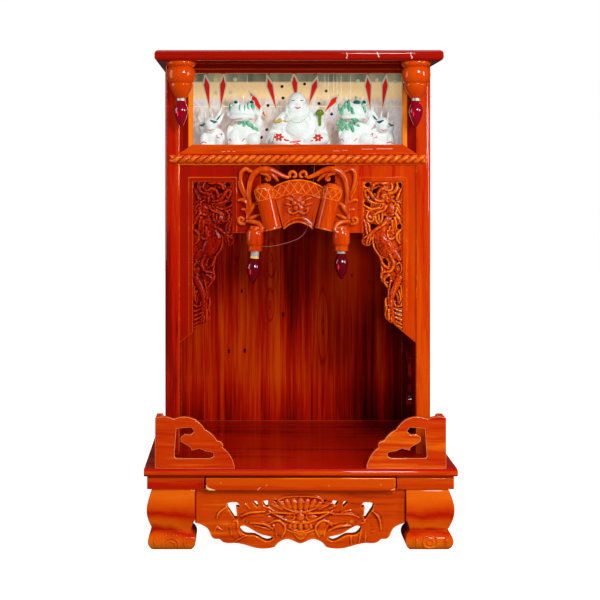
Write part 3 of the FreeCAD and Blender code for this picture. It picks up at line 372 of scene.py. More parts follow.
def halo(tints):
    """Mirror film in bands: grey-green, gold and a mottled mauve with a thin bright line, glowing
    with a painted reflection of a bright room.
    """
    finish = Finish("halo_film")
    level = (finish.axis("Z") - SHELF_TOP) / MM
    block = finish.noise(28, (1, 1, 0.15), 2)
    speck = finish.noise(260, detail=2)
    patch = finish.noise(45, (1, 1, 0.5), 3, 0.7)
    head = finish.ramp(block, (0.35, (0.13, 0.13, 0.09)), (0.55, (0.3, 0.3, 0.2)),
                       (0.7, (0.55, 0.42, 0.2)))
    gold = finish.mix(finish.fade(speck, 0.35, 0.65), tints.gold[:], (0.98, 0.72, 0.4))
    body = finish.ramp(patch, (0.34, (0.4, 0.28, 0.22)), (0.47, (0.62, 0.5, 0.46)),
                       (0.58, (0.74, 0.68, 0.68)), (0.7, (0.55, 0.52, 0.66)))
    shade = finish.mix(finish.fade(level, *GOLD_FROM), body, gold)
    shade = finish.mix(finish.fade(level, *HEAD_FROM), shade, head)
    shade = finish.mix((level > LINE[0]) * (level < LINE[1]), shade, (0.9, 0.7, 0.4))
    # The film glows in its own colours: a painted reflection of a bright room
    return finish.set(Base_Color=shade, Roughness=0.3, Specular_IOR_Level=0.1, Coat_Weight=0.2,
                      Emission_Color=shade, Emission_Strength=0.42).material


def leaf_glaze(tints):
    """Green glaze over white, thin in places."""
    finish = Finish("leaf_glaze")
    shade = finish.ramp(finish.noise(240, (1, 1, 0.5), 3, 0.6), (0.4, (0.06, 0.46, 0.22)),
                        (0.54, (0.26, 0.68, 0.44)), (0.66, tints.porcelain[:]))
    return finish.glaze(shade, 0.2).material


def make_finishes(tints):
    """Every material of the cabinet, by a short name."""
    deep, red, amber = tints.deep_red[:], tints.lacquer_red[:], tints.amber[:]
    dark, edge = tints.shadow_red[:], tints.edge_orange[:]
    warm, dull = blended(red, amber, 0.5), blended(red, deep, 0.5)
    apron_end = min(high("apron_front").x, low("leg_front_right").x) - 0.8 * MM
    made = {
        "frame": wood("frame_lacquer", "Z", dark, deep, red, 0.35, 0.5, (FRAME_LIP, edge)),
        # Rims of the rounded edges: partly rubbed lacquer and partly painted highlight, the fences'
        # pale rims most of all
        "rim": wood("edge_lacquer", "X", warm, amber, edge, 0.35, 0.6),
        "pale_rim": wood("worn_and_highlit_edge_lacquer", "X", edge, (0.9, 0.42, 0.16), (0.95, 0.62, 0.4),
                         0.35, 0.6),
        "fence": wood("fence_lacquer", "X", red, warm, blended(amber, edge, 0.3)),
        "turned": wood("turned_lacquer", "Z", warm, blended(warm, amber, 0.5), amber),
        "deck": wood("deck_lacquer", "X", deep, red, red, 0.3, 0.45),
        "carved": carved("carved_lacquer", dark, warm, blended(amber, edge, 0.55)),
        # The left dragon takes a darker, less glossy copy of the right one's finish: painted shade,
        # as the light comes from the right
        "carved_left_shaded": carved("carved_lacquer_left_shaded", dark, blended(deep, dull, 0.3), warm,
                              coat=0.3, scaly=True),
        "dragon": carved("dragon_lacquer", dark, warm, edge, scaly=True),
        "rope": carved("rope_lacquer", deep, amber, edge),
        "carved_apron": carved("apron_lacquer", deep, blended(warm, amber, 0.6), edge,
                               grain=GRAINS["X"], seam=apron_end),
        "leaf": leaf_glaze(tints), "leg": leg_wood("leg_lacquer", tints),
        "back_wall": back_wall(tints), "pane": pane(), "halo": halo(tints),
        "pane_reflections": Finish("pane_painted_reflections").set(Base_Color=(0.9, 0.9, 0.85), Roughness=0.4,
                                              Alpha=0.28).material,
        "ruby": ruby("ruby_glass", tints.ruby[:]),
        "ruby_shaded": ruby("ruby_glass_shaded", blended(tints.ruby, (0, 0, 0), 0.55)),
    }
    for tone, grains, *look in (
            ("niche", "XZ", dark, deep, red, 0.35, 1.0), ("dull", "XZ", deep, dull, red, 0.3, 0.8),
            ("red", "XYZ", deep, red, warm), ("amber", "XYZ", warm, amber, amber),
            ("warm", "XZ", red, warm, amber)):
        for grain in grains:
            made[f"{tone}_{grain}"] = wood(f"{tone}_lacquer_{grain}", grain, *look)
    # Porcelain, the rays and the red paint glow a little: painted light that brightens them
    for name, tint, gloss, *shine in (
            ("glow", tints.glow, 0.3, 0.4), ("porcelain", tints.porcelain, 0.12, 0.17),
            ("ray_red", tints.ray_red, 0.25, 0.35), ("bare", tints.bare_wood, 0.7),
            ("silver", (0.6, 0.58, 0.52), 0.3, 0, 0.4), ("cap_ring", (0.8, 0.5, 0.03), 0.4),
            ("ray_rim", (0.62, 0.66, 0.48), 0.25, 0.3), ("black_paint", (0.01, 0.012, 0.014), 0.2),
            ("red_paint", (0.8, 0.03, 0.02), 0.2, 0.1), ("green_paint", (0.1, 0.54, 0.26), 0.2),
            ("teal_paint", (0.0, 0.12, 0.16), 0.2), ("olive_paint", (0.16, 0.3, 0.015), 0.2),
            ("gold_paint", (0.75, 0.48, 0.12), 0.3), ("nail", (0.62, 0.2, 0.01), 0.4),
            ("scuff", (0.62, 0.34, 0.25), 0.6), ("pale_scuff", (0.78, 0.6, 0.55), 0.6)):
        made[name] = plain(name, tint[:], gloss, *shine)
    return made


finishes = {}


# Mesh helpers
def settle(obj, body, slot, *nodes):
    """Puts a finished piece on its body, in place of some solids; the material slot it is given is
    not used.
    """
    if obj.name not in bpy.context.scene.collection.all_objects:
        bpy.context.scene.collection.objects.link(obj)
    if nodes:
        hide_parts(*nodes)
    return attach(obj, body)


def object_from(bm, name, *materials, round_below=math.radians(32)):
    """An object from a bmesh, smooth but for its sharp edges; the bmesh is freed."""
    for edge in bm.edges:
        edge.smooth = edge.is_manifold and edge.calc_face_angle(0) < round_below
    mesh = bpy.data.meshes.new(name)
    bm.to_mesh(mesh)
    bm.free()
    for material in materials:
        mesh.materials.append(finishes[material])
    return bpy.data.objects.new(name, mesh)


def smoothed(bm):
    for face in bm.faces:
        face.smooth = True
    return bm


def poured(source, target):
    """Adds one bmesh to another and frees the first."""
    mesh = bpy.data.meshes.new("part")
    source.to_mesh(mesh)
    source.free()
    target.from_mesh(mesh)
    bpy.data.meshes.remove(mesh)


def added(bm, mesh, finish=None):
    """Adds a bmesh to a mesh, with a finish of its own if one is named, and frees it."""
    if finish:
        mesh.materials.append(finishes[finish])
        for face in bm.faces:
            face.material_index = len(mesh.materials) - 1
    bm.from_mesh(mesh)
    bm.to_mesh(mesh)
    bm.free()


def merged(node):
    """A bmesh of a CAD node with its doubles merged and its flat faces whole."""
    bm = bmesh.new()
    bm.from_mesh(frame["nodes"][node].data)
    bmesh.ops.remove_doubles(bm, verts=bm.verts, dist=0.002 * MM)
    bmesh.ops.dissolve_limit(bm, angle_limit=math.radians(0.5), verts=bm.verts, edges=bm.edges,
                             use_dissolve_boundaries=False, delimit=set())
    return bm


def softened(node, finish, rim="rim", edge=None, sharper_than=40):
    """A CAD node with its edges rounded where they turn by more than some degrees.

    The rounds take the rim finish."""
    broad_face = (30 * MM) ** 2
    bm = merged(node)
    sharp = [e for e in bm.edges
             if e.is_manifold and e.calc_face_angle(0) > math.radians(sharper_than)]
    for face in bm.faces:
        face.smooth = face.calc_area() < broad_face
    rounds = bmesh.ops.bevel(bm, geom=sharp, offset=edge or bpy.context.scene.cabinet_make.edge,
                             offset_type="OFFSET", segments=2, profile=0.5, affect="EDGES",
                             clamp_overlap=True, material=-1)
    for face in rounds["faces"]:
        face.material_index, face.smooth = 1, True
    record = frame["record"]
    slot = next(part["material_slot"] for part in record["subparts"] if part["node"] == node)
    body = next(name for name, nodes in record["behaviour"]["bodies"].items() if node in nodes)
    return settle(object_from(bm, node + "_finished", finish, rim), body, slot, node)


def tube(name, points, radius, roundness=3):
    """A curve object along points, as thick as the radius."""
    curve = bpy.data.curves.new(name, "CURVE")
    curve.dimensions, curve.bevel_depth = "3D", radius
    curve.bevel_resolution, curve.use_fill_caps = roundness, True
    spline = curve.splines.new("NURBS")
    spline.points.add(len(points) - 1)
    for point, place in zip(spline.points, points):
        point.co = (*place, 1)
    spline.order_u, spline.use_endpoint_u = 3, True
    return bpy.data.objects.new(name, curve)


def taken_mesh(obj):
    """The mesh a curve or a modified object shows, and the object itself gone."""
    bpy.context.scene.collection.objects.link(obj)
    bpy.context.view_layer.update()
    shown = obj.evaluated_get(bpy.context.evaluated_depsgraph_get())
    mesh = bpy.data.meshes.new_from_object(shown)
    bpy.data.objects.remove(obj)
    return mesh


def lathe(profile, steps=32):
    """A bmesh of a profile of (radius, level), in millimetres, turned round the Z axis."""
    bm = bmesh.new()
    verts = [bm.verts.new((radius * MM, 0, level * MM)) for radius, level in profile]
    edges = [bm.edges.new(pair) for pair in zip(verts, verts[1:])]
    bmesh.ops.spin(bm, geom=verts + edges, axis=(0, 0, 1), cent=(0, 0, 0),
                   angle=2 * math.pi, steps=steps, use_merge=True)
    bmesh.ops.remove_doubles(bm, verts=bm.verts, dist=0.001 * MM)
    bmesh.ops.recalc_face_normals(bm, faces=bm.faces)
    return bm


def placed(bm, verts, place, sizes, turn=0.0):
    """Moves verts to a place after scaling them and turning them about the Y axis."""
    bmesh.ops.transform(bm, verts=verts, matrix=Matrix.Translation(place)
                        @ Matrix.Rotation(turn, 4, "Y") @ Matrix.Diagonal((*sizes, 1)))


def flake(bm, place, sizes, turn=0.0):
    placed(bm, bmesh.ops.create_cube(bm, size=1)["verts"], place, sizes, turn)


def ball(bm, place, half_sizes, turn=0.0, detail=2):
    """Puts an ellipsoid in a bmesh, and returns its faces."""
    verts = bmesh.ops.create_icosphere(bm, subdivisions=detail, radius=1)["verts"]
    placed(bm, verts, place, half_sizes, turn)
    return {face for vert in verts for face in vert.link_faces}


def prism(bm, outline, depth):
    """Puts a plate with an outline in a bmesh, extruded back by a depth, and returns its faces."""
    front = bm.faces.new([bm.verts.new(spot) for spot in outline])
    grown = bmesh.ops.extrude_face_region(bm, geom=[front], use_keep_orig=True)["geom"]
    back = [part for part in grown if isinstance(part, bmesh.types.BMVert)]
    bmesh.ops.translate(bm, verts=back, vec=(0, depth, 0))
    faces = list({face for vert in (*front.verts, *back) for face in vert.link_faces})
    bmesh.ops.recalc_face_normals(bm, faces=faces)
    return faces


def cut_flat(bm, level, facing, slack, whole=False):
    """Cuts off what lies past a level on the Y axis and closes the cut."""
    normal = (0, facing, 0)
    cut = bmesh.ops.bisect_plane(bm, geom=bm.verts[:] + bm.edges[:] + bm.faces[:], dist=slack,
                                 plane_co=(0, level, 0), plane_no=normal, clear_outer=True)
    rim = [part for part in cut["geom_cut"] if isinstance(part, bmesh.types.BMEdge)]
    bmesh.ops.triangle_fill(bm, edges=rim, use_beauty=True, use_dissolve=whole, normal=normal)


def denser(stroke, pitch=1.5):
    """A stroke of (out, down, radius) with more points, evenly between those it has."""
    run = [stroke[0]]
    for start, end in zip(stroke, stroke[1:]):
        steps = max(1, math.ceil(math.hypot(end[0] - start[0], end[1] - start[1]) / pitch))
        run += [tuple(a + (b - a) * step / steps for a, b in zip(start, end))
                for step in range(1, steps + 1)]
    return run


class Carving:
    """Ridges and domes on a backing, remeshed into one carved surface.

    Places are (out, down) in millimetres from a corner, and heights are towards the viewer
    from the ground of the carving."""

    in_front, leaf_height = 1000, 4

    def __init__(self, corner, ground, side=RIGHT):
        self.corner, self.ground, self.side = Vector(corner), ground, side
        self.bm = bmesh.new()

    def place(self, out, down, height=0.0):
        return Vector((self.corner.x + self.side * out * MM, self.ground - height * MM,
                       self.corner.y - down * MM))

    def take(self, mesh):
        """Adds a mesh and removes it from the file."""
        self.bm.from_mesh(mesh)
        bpy.data.meshes.remove(mesh)

    def backing(self, node):
        """The CAD node, cut back to the ground of the carving."""
        bm = merged(node)
        cut_flat(bm, self.ground, -1, 1e-7, whole=True)
        poured(bm, self.bm)

    def ridges(self, strokes, swell=1.0, lift=0.35, depth=1.0, fine=6):
        """Tapered ridges; each stroke is a run of (out, down, radius) or also a height."""
        curve = bpy.data.curves.new("ridges", "CURVE")
        curve.dimensions, curve.bevel_depth = "3D", MM
        curve.bevel_resolution, curve.use_fill_caps = 3, True
        curve.resolution_u = fine
        for stroke in strokes:
            spline = curve.splines.new("NURBS")
            spline.points.add(len(stroke) - 1)
            for point, (out, down, radius, *height) in zip(spline.points, stroke):
                thick = radius * swell
                point.co = (*self.place(out, down, (height or [0])[0] + lift * thick), 1)
                point.radius = thick
            spline.order_u, spline.use_endpoint_u = min(3, len(stroke)), True
        mesh = taken_mesh(bpy.data.objects.new("ridges", curve))
        if depth != 1:
            mesh.transform(Matrix.Translation((0, self.ground, 0))
                           @ Matrix.Diagonal((1, depth, 1, 1))
                           @ Matrix.Translation((0, -self.ground, 0)))
        self.take(mesh)

    def surface(self, out, down, tree):
        """The height of a surface at a place, or None where there is none."""
        hit = tree.ray_cast(self.place(out, down, self.in_front), Vector((0, 1, 0)))[0]
        return None if hit is None else (self.ground - hit.y) / MM

    def laid(self, strokes, tree):
        """The strokes with the heights of the surface they lie on, but for those off it."""
        runs = [[(*point, self.surface(*point[:2], tree)) for point in denser(stroke)]
                for stroke in strokes]
        runs = [[point for point in run if point[3] is not None] for run in runs]
        return [run for run in runs if len(run) > 1]

    def leaves(self, spots, tree, spare=12.0):
        """Leaf-shaped domes on the surface, or at the spare height where there is none."""
        for out, down, wide, tall, lean in spots:
            height = self.surface(out, down, tree)
            self.dome(out, down, wide, tall, self.leaf_height, lean,
                      spare if height is None else height)

    def dome(self, out, down, wide, tall, high, turn=0.0, height=0.0):
        """Half-sunk ellipsoid, given by its full width and height and how far it stands out."""
        ball(self.bm, self.place(out, down, height), (0.5 * wide * MM, high * MM, 0.5 * tall * MM),
             self.side * math.radians(turn), 3)

    def domes(self, rows):
        for row in rows:
            self.dome(*row)

    def remeshed(self, name, cell):
        """The union of everything so far as a mesh of small even cells."""
        mesh = bpy.data.meshes.new(name)
        self.bm.to_mesh(mesh)
        self.bm.free()
        rough = bpy.data.objects.new(name + "_rough", mesh)
        join = rough.modifiers.new("join", "REMESH")
        join.mode, join.voxel_size, join.use_smooth_shade = "VOXEL", cell, True
        ease = rough.modifiers.new("ease", "SMOOTH")
        ease.factor, ease.iterations = 0.5, 2
        done = taken_mesh(rough)
        for face in done.polygons:
            face.use_smooth = True
        return done


def tree_of(mesh):
    """A search tree over a mesh, for places on its surface."""
    return BVHTree.FromPolygons([vert.co for vert in mesh.vertices],
                                [face.vertices[:] for face in mesh.polygons])


def mirrored(mesh, name):
    """A copy of a mesh on the other side of the middle, facing outwards."""
    bm = bmesh.new()
    bm.from_mesh(mesh)
    bmesh.ops.transform(bm, matrix=Matrix.Diagonal((-1, 1, 1, 1)), verts=bm.verts)
    bmesh.ops.reverse_faces(bm, faces=bm.faces)
    copy = bpy.data.meshes.new(name)
    bm.to_mesh(copy)
    bm.free()
    return copy


# Boards and turned pieces that keep the shape of their solids
BOARDS = {
    "deck": "deck", "back_wall": "back_wall", "side_wall_left": "niche_Z",
    # The left stile, arch panel and lamp cup take darker tones than the right ones: painted shade,
    # as the light falls from the right
    "side_wall_right": "niche_Z", "stile_left": "red_Z", "stile_right": "warm_Z",
    "cross_rail": "red_X", "top_rail": "niche_X", "shelf": "niche_X", "top_board": "dull_X",
    "base_rail_front_left": "warm_X", "base_rail_front_right": "warm_X",
    "base_rail_left": "amber_Y", "base_rail_right": "amber_Y", "base_rail_back": "red_X",
    "apron_left": "amber_Y", "apron_right": "amber_Y", "apron_back": "red_X",
    "tray_runners": "red_Y", "tray_board": "red_Y",
    # Darker tone on the left arch panel: painted shade
    "arch_panel_left": "dull_Z", "arch_panel_right": "warm_Z",
    "fence_side_left": "amber_Y", "fence_side_right": "amber_Y",
    "fence_front_left": "fence", "fence_front_right": "fence",
    "leg_back_left": "leg", "leg_back_right": "leg",
    "pendant_left": "turned", "pendant_right": "turned",
    # Darker tone on the left lamp cup: painted shade
    "lamp_cup_left": "warm_Z", "lamp_cup_right": "amber_Z",
}
# The top strip of the frame takes the dark niche tone: painted shade under the top board
STRIPS = {"frame_bottom": "amber_X", "frame_top": "niche_X", "frame_left": "frame",
          "frame_right": "frame"}
# Worn places, on the frame's rails partly painted highlight, as (node, finish, rows), with rows of
# (middle across, level, half width, half height, slope) in millimetres
CHIPS = (
    ("top_board", "pale_scuff", (
        (75, 766.4, 0.6, 1.4, 0.3), (75.8, 763, 0.5, 1.8, -0.2), (75, 759.6, 0.5, 1.4, 0.3),
        (124.4, 764.6, 0.7, 4.4, 0.4), (176, 766.8, 0.6, 1.6, -0.3), (176.6, 763, 0.5, 1.8, 0.3),
        (178, 760, 0.6, 1.6, -0.6))),
    # On the right of the bottom rail these pale marks are partly a painted highlight
    ("frame_bottom", "scuff", ((-120, 613, 3, 0.4, 0.1), (-111.6, 613.6, 2.4, 0.4, -0.1),
                               (-103, 613, 2, 0.4, 0.1), (62, 614, 5, 0.3, 0), (76, 615, 4, 0.3, 0),
                               (112, 617, 9, 0.4, 0), (140, 617.4, 13, 0.5, 0))),
    ("frame_top", "scuff", ((112, 750.4, 3.6, 0.5, 0.2), (120.6, 751, 2, 1, -0.4),
                            (124.6, 749.6, 2, 0.8, 0.4), (130.4, 750.4, 2.6, 0.5, -0.3))),
)


class CABINET_OT_boards(bpy.types.Operator):
    """Boards, strips and turned pieces, with their edges rounded and coloured pale, partly rubbed
    and partly painted highlight
    """

    bl_idname = "cabinet.boards"
    bl_label = "Boards"
    chip_depth = 0.3 * MM

    def execute(self, context):
        for node, finish in BOARDS.items():
            piece = softened(node, finish, rim="pale_rim" if "fence" in node else "rim")
            if node == "deck":
                piece.data.materials.append(finishes["warm_X"])
                for face in piece.data.polygons:
                    if abs(face.normal.z) < 0.5:
                        face.material_index = 2
        for node, finish in STRIPS.items():
            softened(node, finish, edge=context.scene.cabinet_make.thin_edge)
        for node, finish, places in CHIPS:
            bm, front = bmesh.new(), low(node).y
            for across, level, wide, tall, slope in places:
                flake(bm, (across * MM, front, level * MM),
                      (2 * wide * MM, self.chip_depth, 2 * tall * MM), -slope)
            added(bm, bpy.data.objects[node + "_finished"].data, finish)
        return {"FINISHED"}


# Lamp wire: its route from the middle of the panels' front at the top of the arch
WIRE_ROUTE = [(-58.1, -15, -131), (-49, -15, -131.4), (-37.4, -13.5, -130.2),
              (-25.5, -11, -127.7), (-11.5, -7.5, -124), (0.5, -4, -119.5), (9.5, 0, -112.5),
              (15.5, 4, -103), (20, 5.5, -88), (24.5, 6, -62), (25, 6.5, -30), (27.5, 7, 0)]


class CABINET_OT_wire(bpy.types.Operator):
    """The thin lamp wire that hangs under the valance"""

    bl_idname = "cabinet.wire"
    bl_label = "Lamp wire"

    def execute(self, context):
        make = context.scene.cabinet_make
        start = Vector((0, PANEL_FRONT, ARCH_TOP))
        route = [tuple(start + MM * Vector(point)) for point in WIRE_ROUTE]
        wire = tube("wire_of_lamps", route, make.wire / 2)
        cover = Finish("wire_cover")
        cover.set(Base_Color=(0.3, 0.07, 0.03), Roughness=0.45)
        wire.data.materials.append(cover.material)
        settle(wire, "cabinet", "wire_cover", "lamp_wire")
        return {"FINISHED"}


class CABINET_OT_rope(bpy.types.Operator):
    """The rope moulding: two round strands laid round each other, flat behind"""

    bl_idname = "cabinet.rope"
    bl_label = "Rope moulding"
    steps_to_a_turn, cell = 8, 0.9
    centre_depth = 2 * MM

    def execute(self, context):
        make = context.scene.cabinet_make
        start, end = low("rope_moulding"), high("rope_moulding")
        centre = Vector((0, end.y - self.centre_depth, 0.5 * (start.z + end.z)))
        reach = 0.5 * (end.z - start.z) - make.rope_strand
        steps = math.ceil((end.x - start.x) / make.rope_lead * self.steps_to_a_turn)
        laid = Carving((0, 0), 0)
        for strand in range(2):
            points = []
            for step in range(steps + 1):
                along = start.x + (end.x - start.x) * step / steps
                turn = 2 * math.pi * (along / make.rope_lead + strand / 2)
                points.append(centre + Vector((along, -reach * math.cos(turn),
                                               reach * math.sin(turn))))
            laid.take(taken_mesh(tube("strand", points, make.rope_strand, 4)))
        bm = bmesh.new()
        bm.from_mesh(laid.remeshed("rope", self.cell * make.carving_step))
        cut_flat(bm, end.y, 1, 1e-6)
        settle(object_from(smoothed(bm), "rope_twisted", "rope"), "cabinet", "amber_lacquer",
               "rope_moulding")
        return {"FINISHED"}


# Dragon: strokes of (out, down, radius) from the window's upper inner corner
HORNS = (
    ((15.2, 13.5, 1.6), (16, 7, 2.2), (20, 3.4, 2.5), (27, 2.4, 2.6), (33.5, 3.6, 2.4),
     (39, 2.4, 2)),
    ((23, 26, 2.4), (24.8, 18, 3), (29, 12.4, 3.2), (35, 11.4, 3), (38.5, 14, 2.6),
     (43, 14.8, 2.3), (47, 12.4, 2), (48.3, 7.6, 1.8), (45.5, 2.4, 1)),
    ((40, 18.4, 1.8), (46.4, 19.4, 2.6), (52, 16.4, 3), (55, 10.8, 3), (56.2, 5.6, 2.2),
     (54.4, 1.4, 1)),
    ((28.8, 17.6, 1), (33, 15.6, 1.6), (37, 17, 1.4), (36, 19.4, 0.8)),
)
BROW = (
    ((33, 21.4, 1.2), (36, 20.6, 1.8), (42, 21.4, 1.7), (49.6, 21, 1.1)),
    ((29.4, 25.6, 0.8), (31, 22.6, 1), (34, 22.6, 1), (36, 25.4, 1), (34, 28.2, 1),
     (30.8, 28, 0.8)),
    ((37.5, 24, 1.6), (40, 27.5, 2.2), (38, 31, 1.8), (41.5, 33, 1.2)),
    ((43, 24.6, 1.2), (46, 25.8, 1.6), (49, 24.8, 1)),
)
SNOUT = (
    ((6.8, 13.4, 2.2), (11, 17, 2.8), (14.4, 22.6, 2.8), (17.6, 27.4, 2.6), (22, 30.6, 2.6),
     (29, 32, 2.4), (33, 31.6, 1.8)),
    ((10.4, 13.4, 1.6), (4.8, 13.2, 2.2), (3.2, 18, 2.4), (5.4, 25, 2.4), (10, 27.6, 2),
     (9.2, 20.6, 1.1)),
    ((5.6, 27.6, 1.4), (12, 32.4, 1.9), (19.2, 35.2, 1.9), (28.8, 35.4, 1.6), (34, 37, 1.2)),
    ((18.4, 18.6, 0.8), (20, 21.6, 1.2), (22.4, 24.6, 1.3), (24.6, 28, 1)),
)
TEETH = ((8, 31.4), (11, 33.8), (14, 36.2), (17.6, 37.6), (21, 38.2), (24.4, 38), (28, 38.6),
         (22.2, 52.2), (24.4, 50.6), (26.6, 49.2), (29, 48.2))
JAW = (
    ((0.8, 37.6, 1.4), (6.4, 41.6, 2.3), (14.4, 45, 2), (21.6, 44, 1.7), (27.4, 41.6, 1.4)),
    ((4.8, 46.4, 1), (9.6, 48.2, 1.8), (13.6, 46.6, 1.6), (17.4, 44.4, 1)),
    ((18.4, 54, 1.6), (21.6, 51.4, 2), (27.2, 48.6, 2.3), (32.8, 47.4, 2.5), (36.6, 43, 2.5),
     (37.6, 38.6, 1.8)),
    ((20.8, 47.8, 0.8), (26, 46, 1.2), (31, 43, 1.2), (33, 39.4, 0.8)),
)
CHEEK = (
    ((54.4, 36, 1.2), (55.4, 44, 1.8), (52.8, 50.8, 1.8), (48, 54, 1.7), (42.4, 54.4, 1.2)),
    ((40.4, 38, 1), (39.6, 44, 1.3), (40.6, 50, 1)),
    ((46, 31, 1), (51.2, 32, 1.6), (53, 36.2, 1.7), (50.4, 40.4, 1.4), (47.4, 37.6, 1)),
)
BEARD = (
    ((20.8, 54.4, 1.2), (20, 61, 1.9), (23.4, 66.8, 1.7), (28.4, 70.8, 0.8)),
    ((30.4, 49.4, 1.4), (32, 57, 2), (29.8, 65, 1.7), (28, 70, 0.8)),
    ((25.6, 53.6, 1.3), (26.2, 61, 1.8), (27, 67.4, 0.9)),
)
WHISKERS = (
    ((9.8, 49, 1.2), (5.6, 53.6, 1.9), (6.2, 61, 2.1), (12, 65.6, 2.1), (16.8, 63.4, 1.8),
     (18.4, 57.4, 1.4), (16.4, 54, 0.9)),
    ((9.4, 57, 0.8), (13.2, 60.6, 1.5), (16.4, 58, 0.8)),
)
CLAWS = (
    ((1.6, 61.6, 1.4), (4.6, 69.6, 2), (5.4, 78, 2), (7, 86, 2), (10.6, 88, 2)),
    ((4.8, 63.2, 1.2), (9.4, 68.6, 2), (10.6, 76, 2), (11.6, 84, 2)),
    ((37, 66, 2.4), (30.4, 72.2, 2.8), (21.8, 76.8, 2.8), (15.2, 82, 3), (10, 87.4, 2.8)),
    ((8, 88, 2.2), (3.4, 89.6, 1.9), (0.8, 92.6, 0.8)),
    ((9.4, 89.6, 2.4), (5.8, 96, 2), (6.2, 104, 0.8)),
    ((12, 88.6, 2.2), (13, 95.4, 2), (9.6, 100, 0.9)),
)
MANE = (
    ((54.4, 30, 2.2), (57.6, 20.6, 2.3), (62, 12.6, 0.7)),
    ((54.8, 31.4, 2), (59, 33, 1.7), (62.4, 35.8, 0.7)),
    ((55, 36.4, 2.2), (59.4, 41.4, 1.9), (61.8, 48.6, 0.7)),
    ((55.4, 43.4, 2), (58.6, 48.6, 1.7), (61, 53.4, 0.7)),
    ((53.4, 52, 2.3), (57, 59.4, 2.1), (61.8, 68.4, 0.8)),
    ((56, 54.4, 1.7), (59.4, 59, 1.4), (62.4, 63.6, 0.7)),
    ((51, 57, 2.3), (53.6, 67.4, 2), (54.6, 78, 0.8)),
    ((47, 62, 2.3), (47, 73, 2.3), (50.6, 83.6, 0.8)),
    ((50.4, 63.4, 1.7), (50.6, 73, 1.6), (52.6, 79.8, 0.8)),
    ((43.4, 72, 2), (41.6, 81, 2), (43.4, 88, 1)),
    ((40, 79, 2), (38.4, 87.4, 2.4), (42.4, 93.6, 2.5), (49.4, 92.4, 2.2), (53, 88, 1.2)),
    ((61.8, 78, 1.8), (56, 82.4, 2.4), (54.2, 89, 2.4), (55.4, 96, 2.3), (60.4, 100.6, 1.2)),
    ((59.6, 82.6, 0.9), (58.4, 89.4, 1.5), (60, 96, 0.9)),
    ((47.4, 77.6, 1.6), (46.2, 83, 1.7), (51, 84.8, 0.8)),
    ((43, 60.6, 1), (39.8, 62.8, 1.2), (41, 67.6, 1.2), (45.6, 67.4, 1.2), (46.4, 62.6, 1)),
)
BODY = (
    ((41, 60, 4.4), (35.6, 72, 6.2), (29.4, 84, 9.4), (30, 95, 12), (35.4, 105, 13),
     (40, 112, 11.6), (46, 117, 7.6)),
    ((48, 113, 6), (55, 121, 4.6), (61, 128, 3)),
)
BELLY = (
    ((19.6, 80.6, 1), (16.2, 89, 1.5), (16, 99.6, 1.6), (19.4, 110.4, 1.6), (25.4, 117.4, 1.6),
     (28, 122, 1.2)),
)
HIND_LEG = (
    ((27.6, 121, 2), (29, 126, 2.7), (31.6, 133.4, 2.5), (37.2, 138.4, 2), (43, 141.6, 1.5)),
    ((42.6, 116.4, 2.8), (46.6, 124, 3.1), (50, 131, 3.1), (49, 140, 3.4), (42.6, 146, 3),
     (34.8, 145.6, 2.4), (30, 148.6, 1.6)),
    ((28.8, 132, 1.2), (31.8, 141, 1.5), (29.8, 149, 1.9), (29.6, 158, 1.7), (32.4, 163.2, 0.8)),
    ((43, 150, 3.1), (36.6, 152.8, 3), (33.6, 158, 2.7), (34.8, 164, 2.3), (39.8, 170.6, 1.2)),
    ((42.4, 148, 1.4), (49, 140.6, 1.7), (54, 133.6, 1.7), (59.2, 131, 1.7), (62.6, 136, 1.7),
     (62.2, 144.4, 1.7), (59.2, 149.6, 1.6), (54, 152, 1.4)),
    ((52.4, 144.6, 0.9), (54.2, 140.6, 1.2), (58.6, 141.6, 0.9)),
)
TAIL = (
    ((60, 152.6, 4.6), (57.4, 159.6, 5.6), (53.2, 169.6, 5.4), (49, 178, 4.7), (46.6, 188, 3.8),
     (46.6, 201, 3.2), (48.2, 213.6, 2.8), (49.2, 223.6, 2.4), (54, 232, 2), (61.8, 238.4, 1.4)),
)
TAIL_BEADS = ((57.6, 157), (55, 162.6), (52.6, 167.4), (50.4, 174), (48.2, 179.4), (46.2, 186.6),
              (45.6, 194), (45.8, 201))
FINS = (
    ((45.8, 159.6, 1), (42.4, 171.4, 1.3), (41.2, 186.6, 1.3), (42.4, 203.4, 1.3),
     (45.8, 217.8, 1)),
    ((37.2, 188, 1.2), (36.2, 196.6, 2.1), (39, 205.6, 2), (36.6, 212, 0.8)),
    ((42, 206, 1.8), (41.4, 216, 2.3), (42.6, 225, 1)),
    ((46, 217, 1.4), (46.4, 223, 2), (47, 227.4, 1.1)),
    ((54, 179.6, 1.2), (57.4, 188, 1.6), (56.8, 195, 1.1)),
    ((57.4, 176, 1.4), (61, 184.6, 1.8), (61, 192.4, 1.6), (57.6, 197, 1.1)),
    ((61.8, 170, 1.2), (62.8, 180, 1.6), (63, 190, 1.2)),
    ((51.6, 193, 1), (50.8, 198.4, 1.6), (54.2, 202, 2), (59.2, 201.4, 2.2), (63.4, 199.4, 2)),
    ((50.6, 204, 1.6), (54.4, 208, 1.9), (63.4, 209.4, 1.9)),
    ((50.6, 211.6, 1.6), (56, 215.4, 1.8), (63.4, 216.8, 1.8)),
    ((51.4, 218, 1.6), (56.8, 222, 1.8), (63.4, 223.8, 1.8)),
    ((53, 225, 1.5), (57.6, 229, 1.6), (63.4, 231.4, 1.6)),
    ((57, 233, 1.1), (60, 235, 1.2), (63.6, 236.6, 1.2)),
)
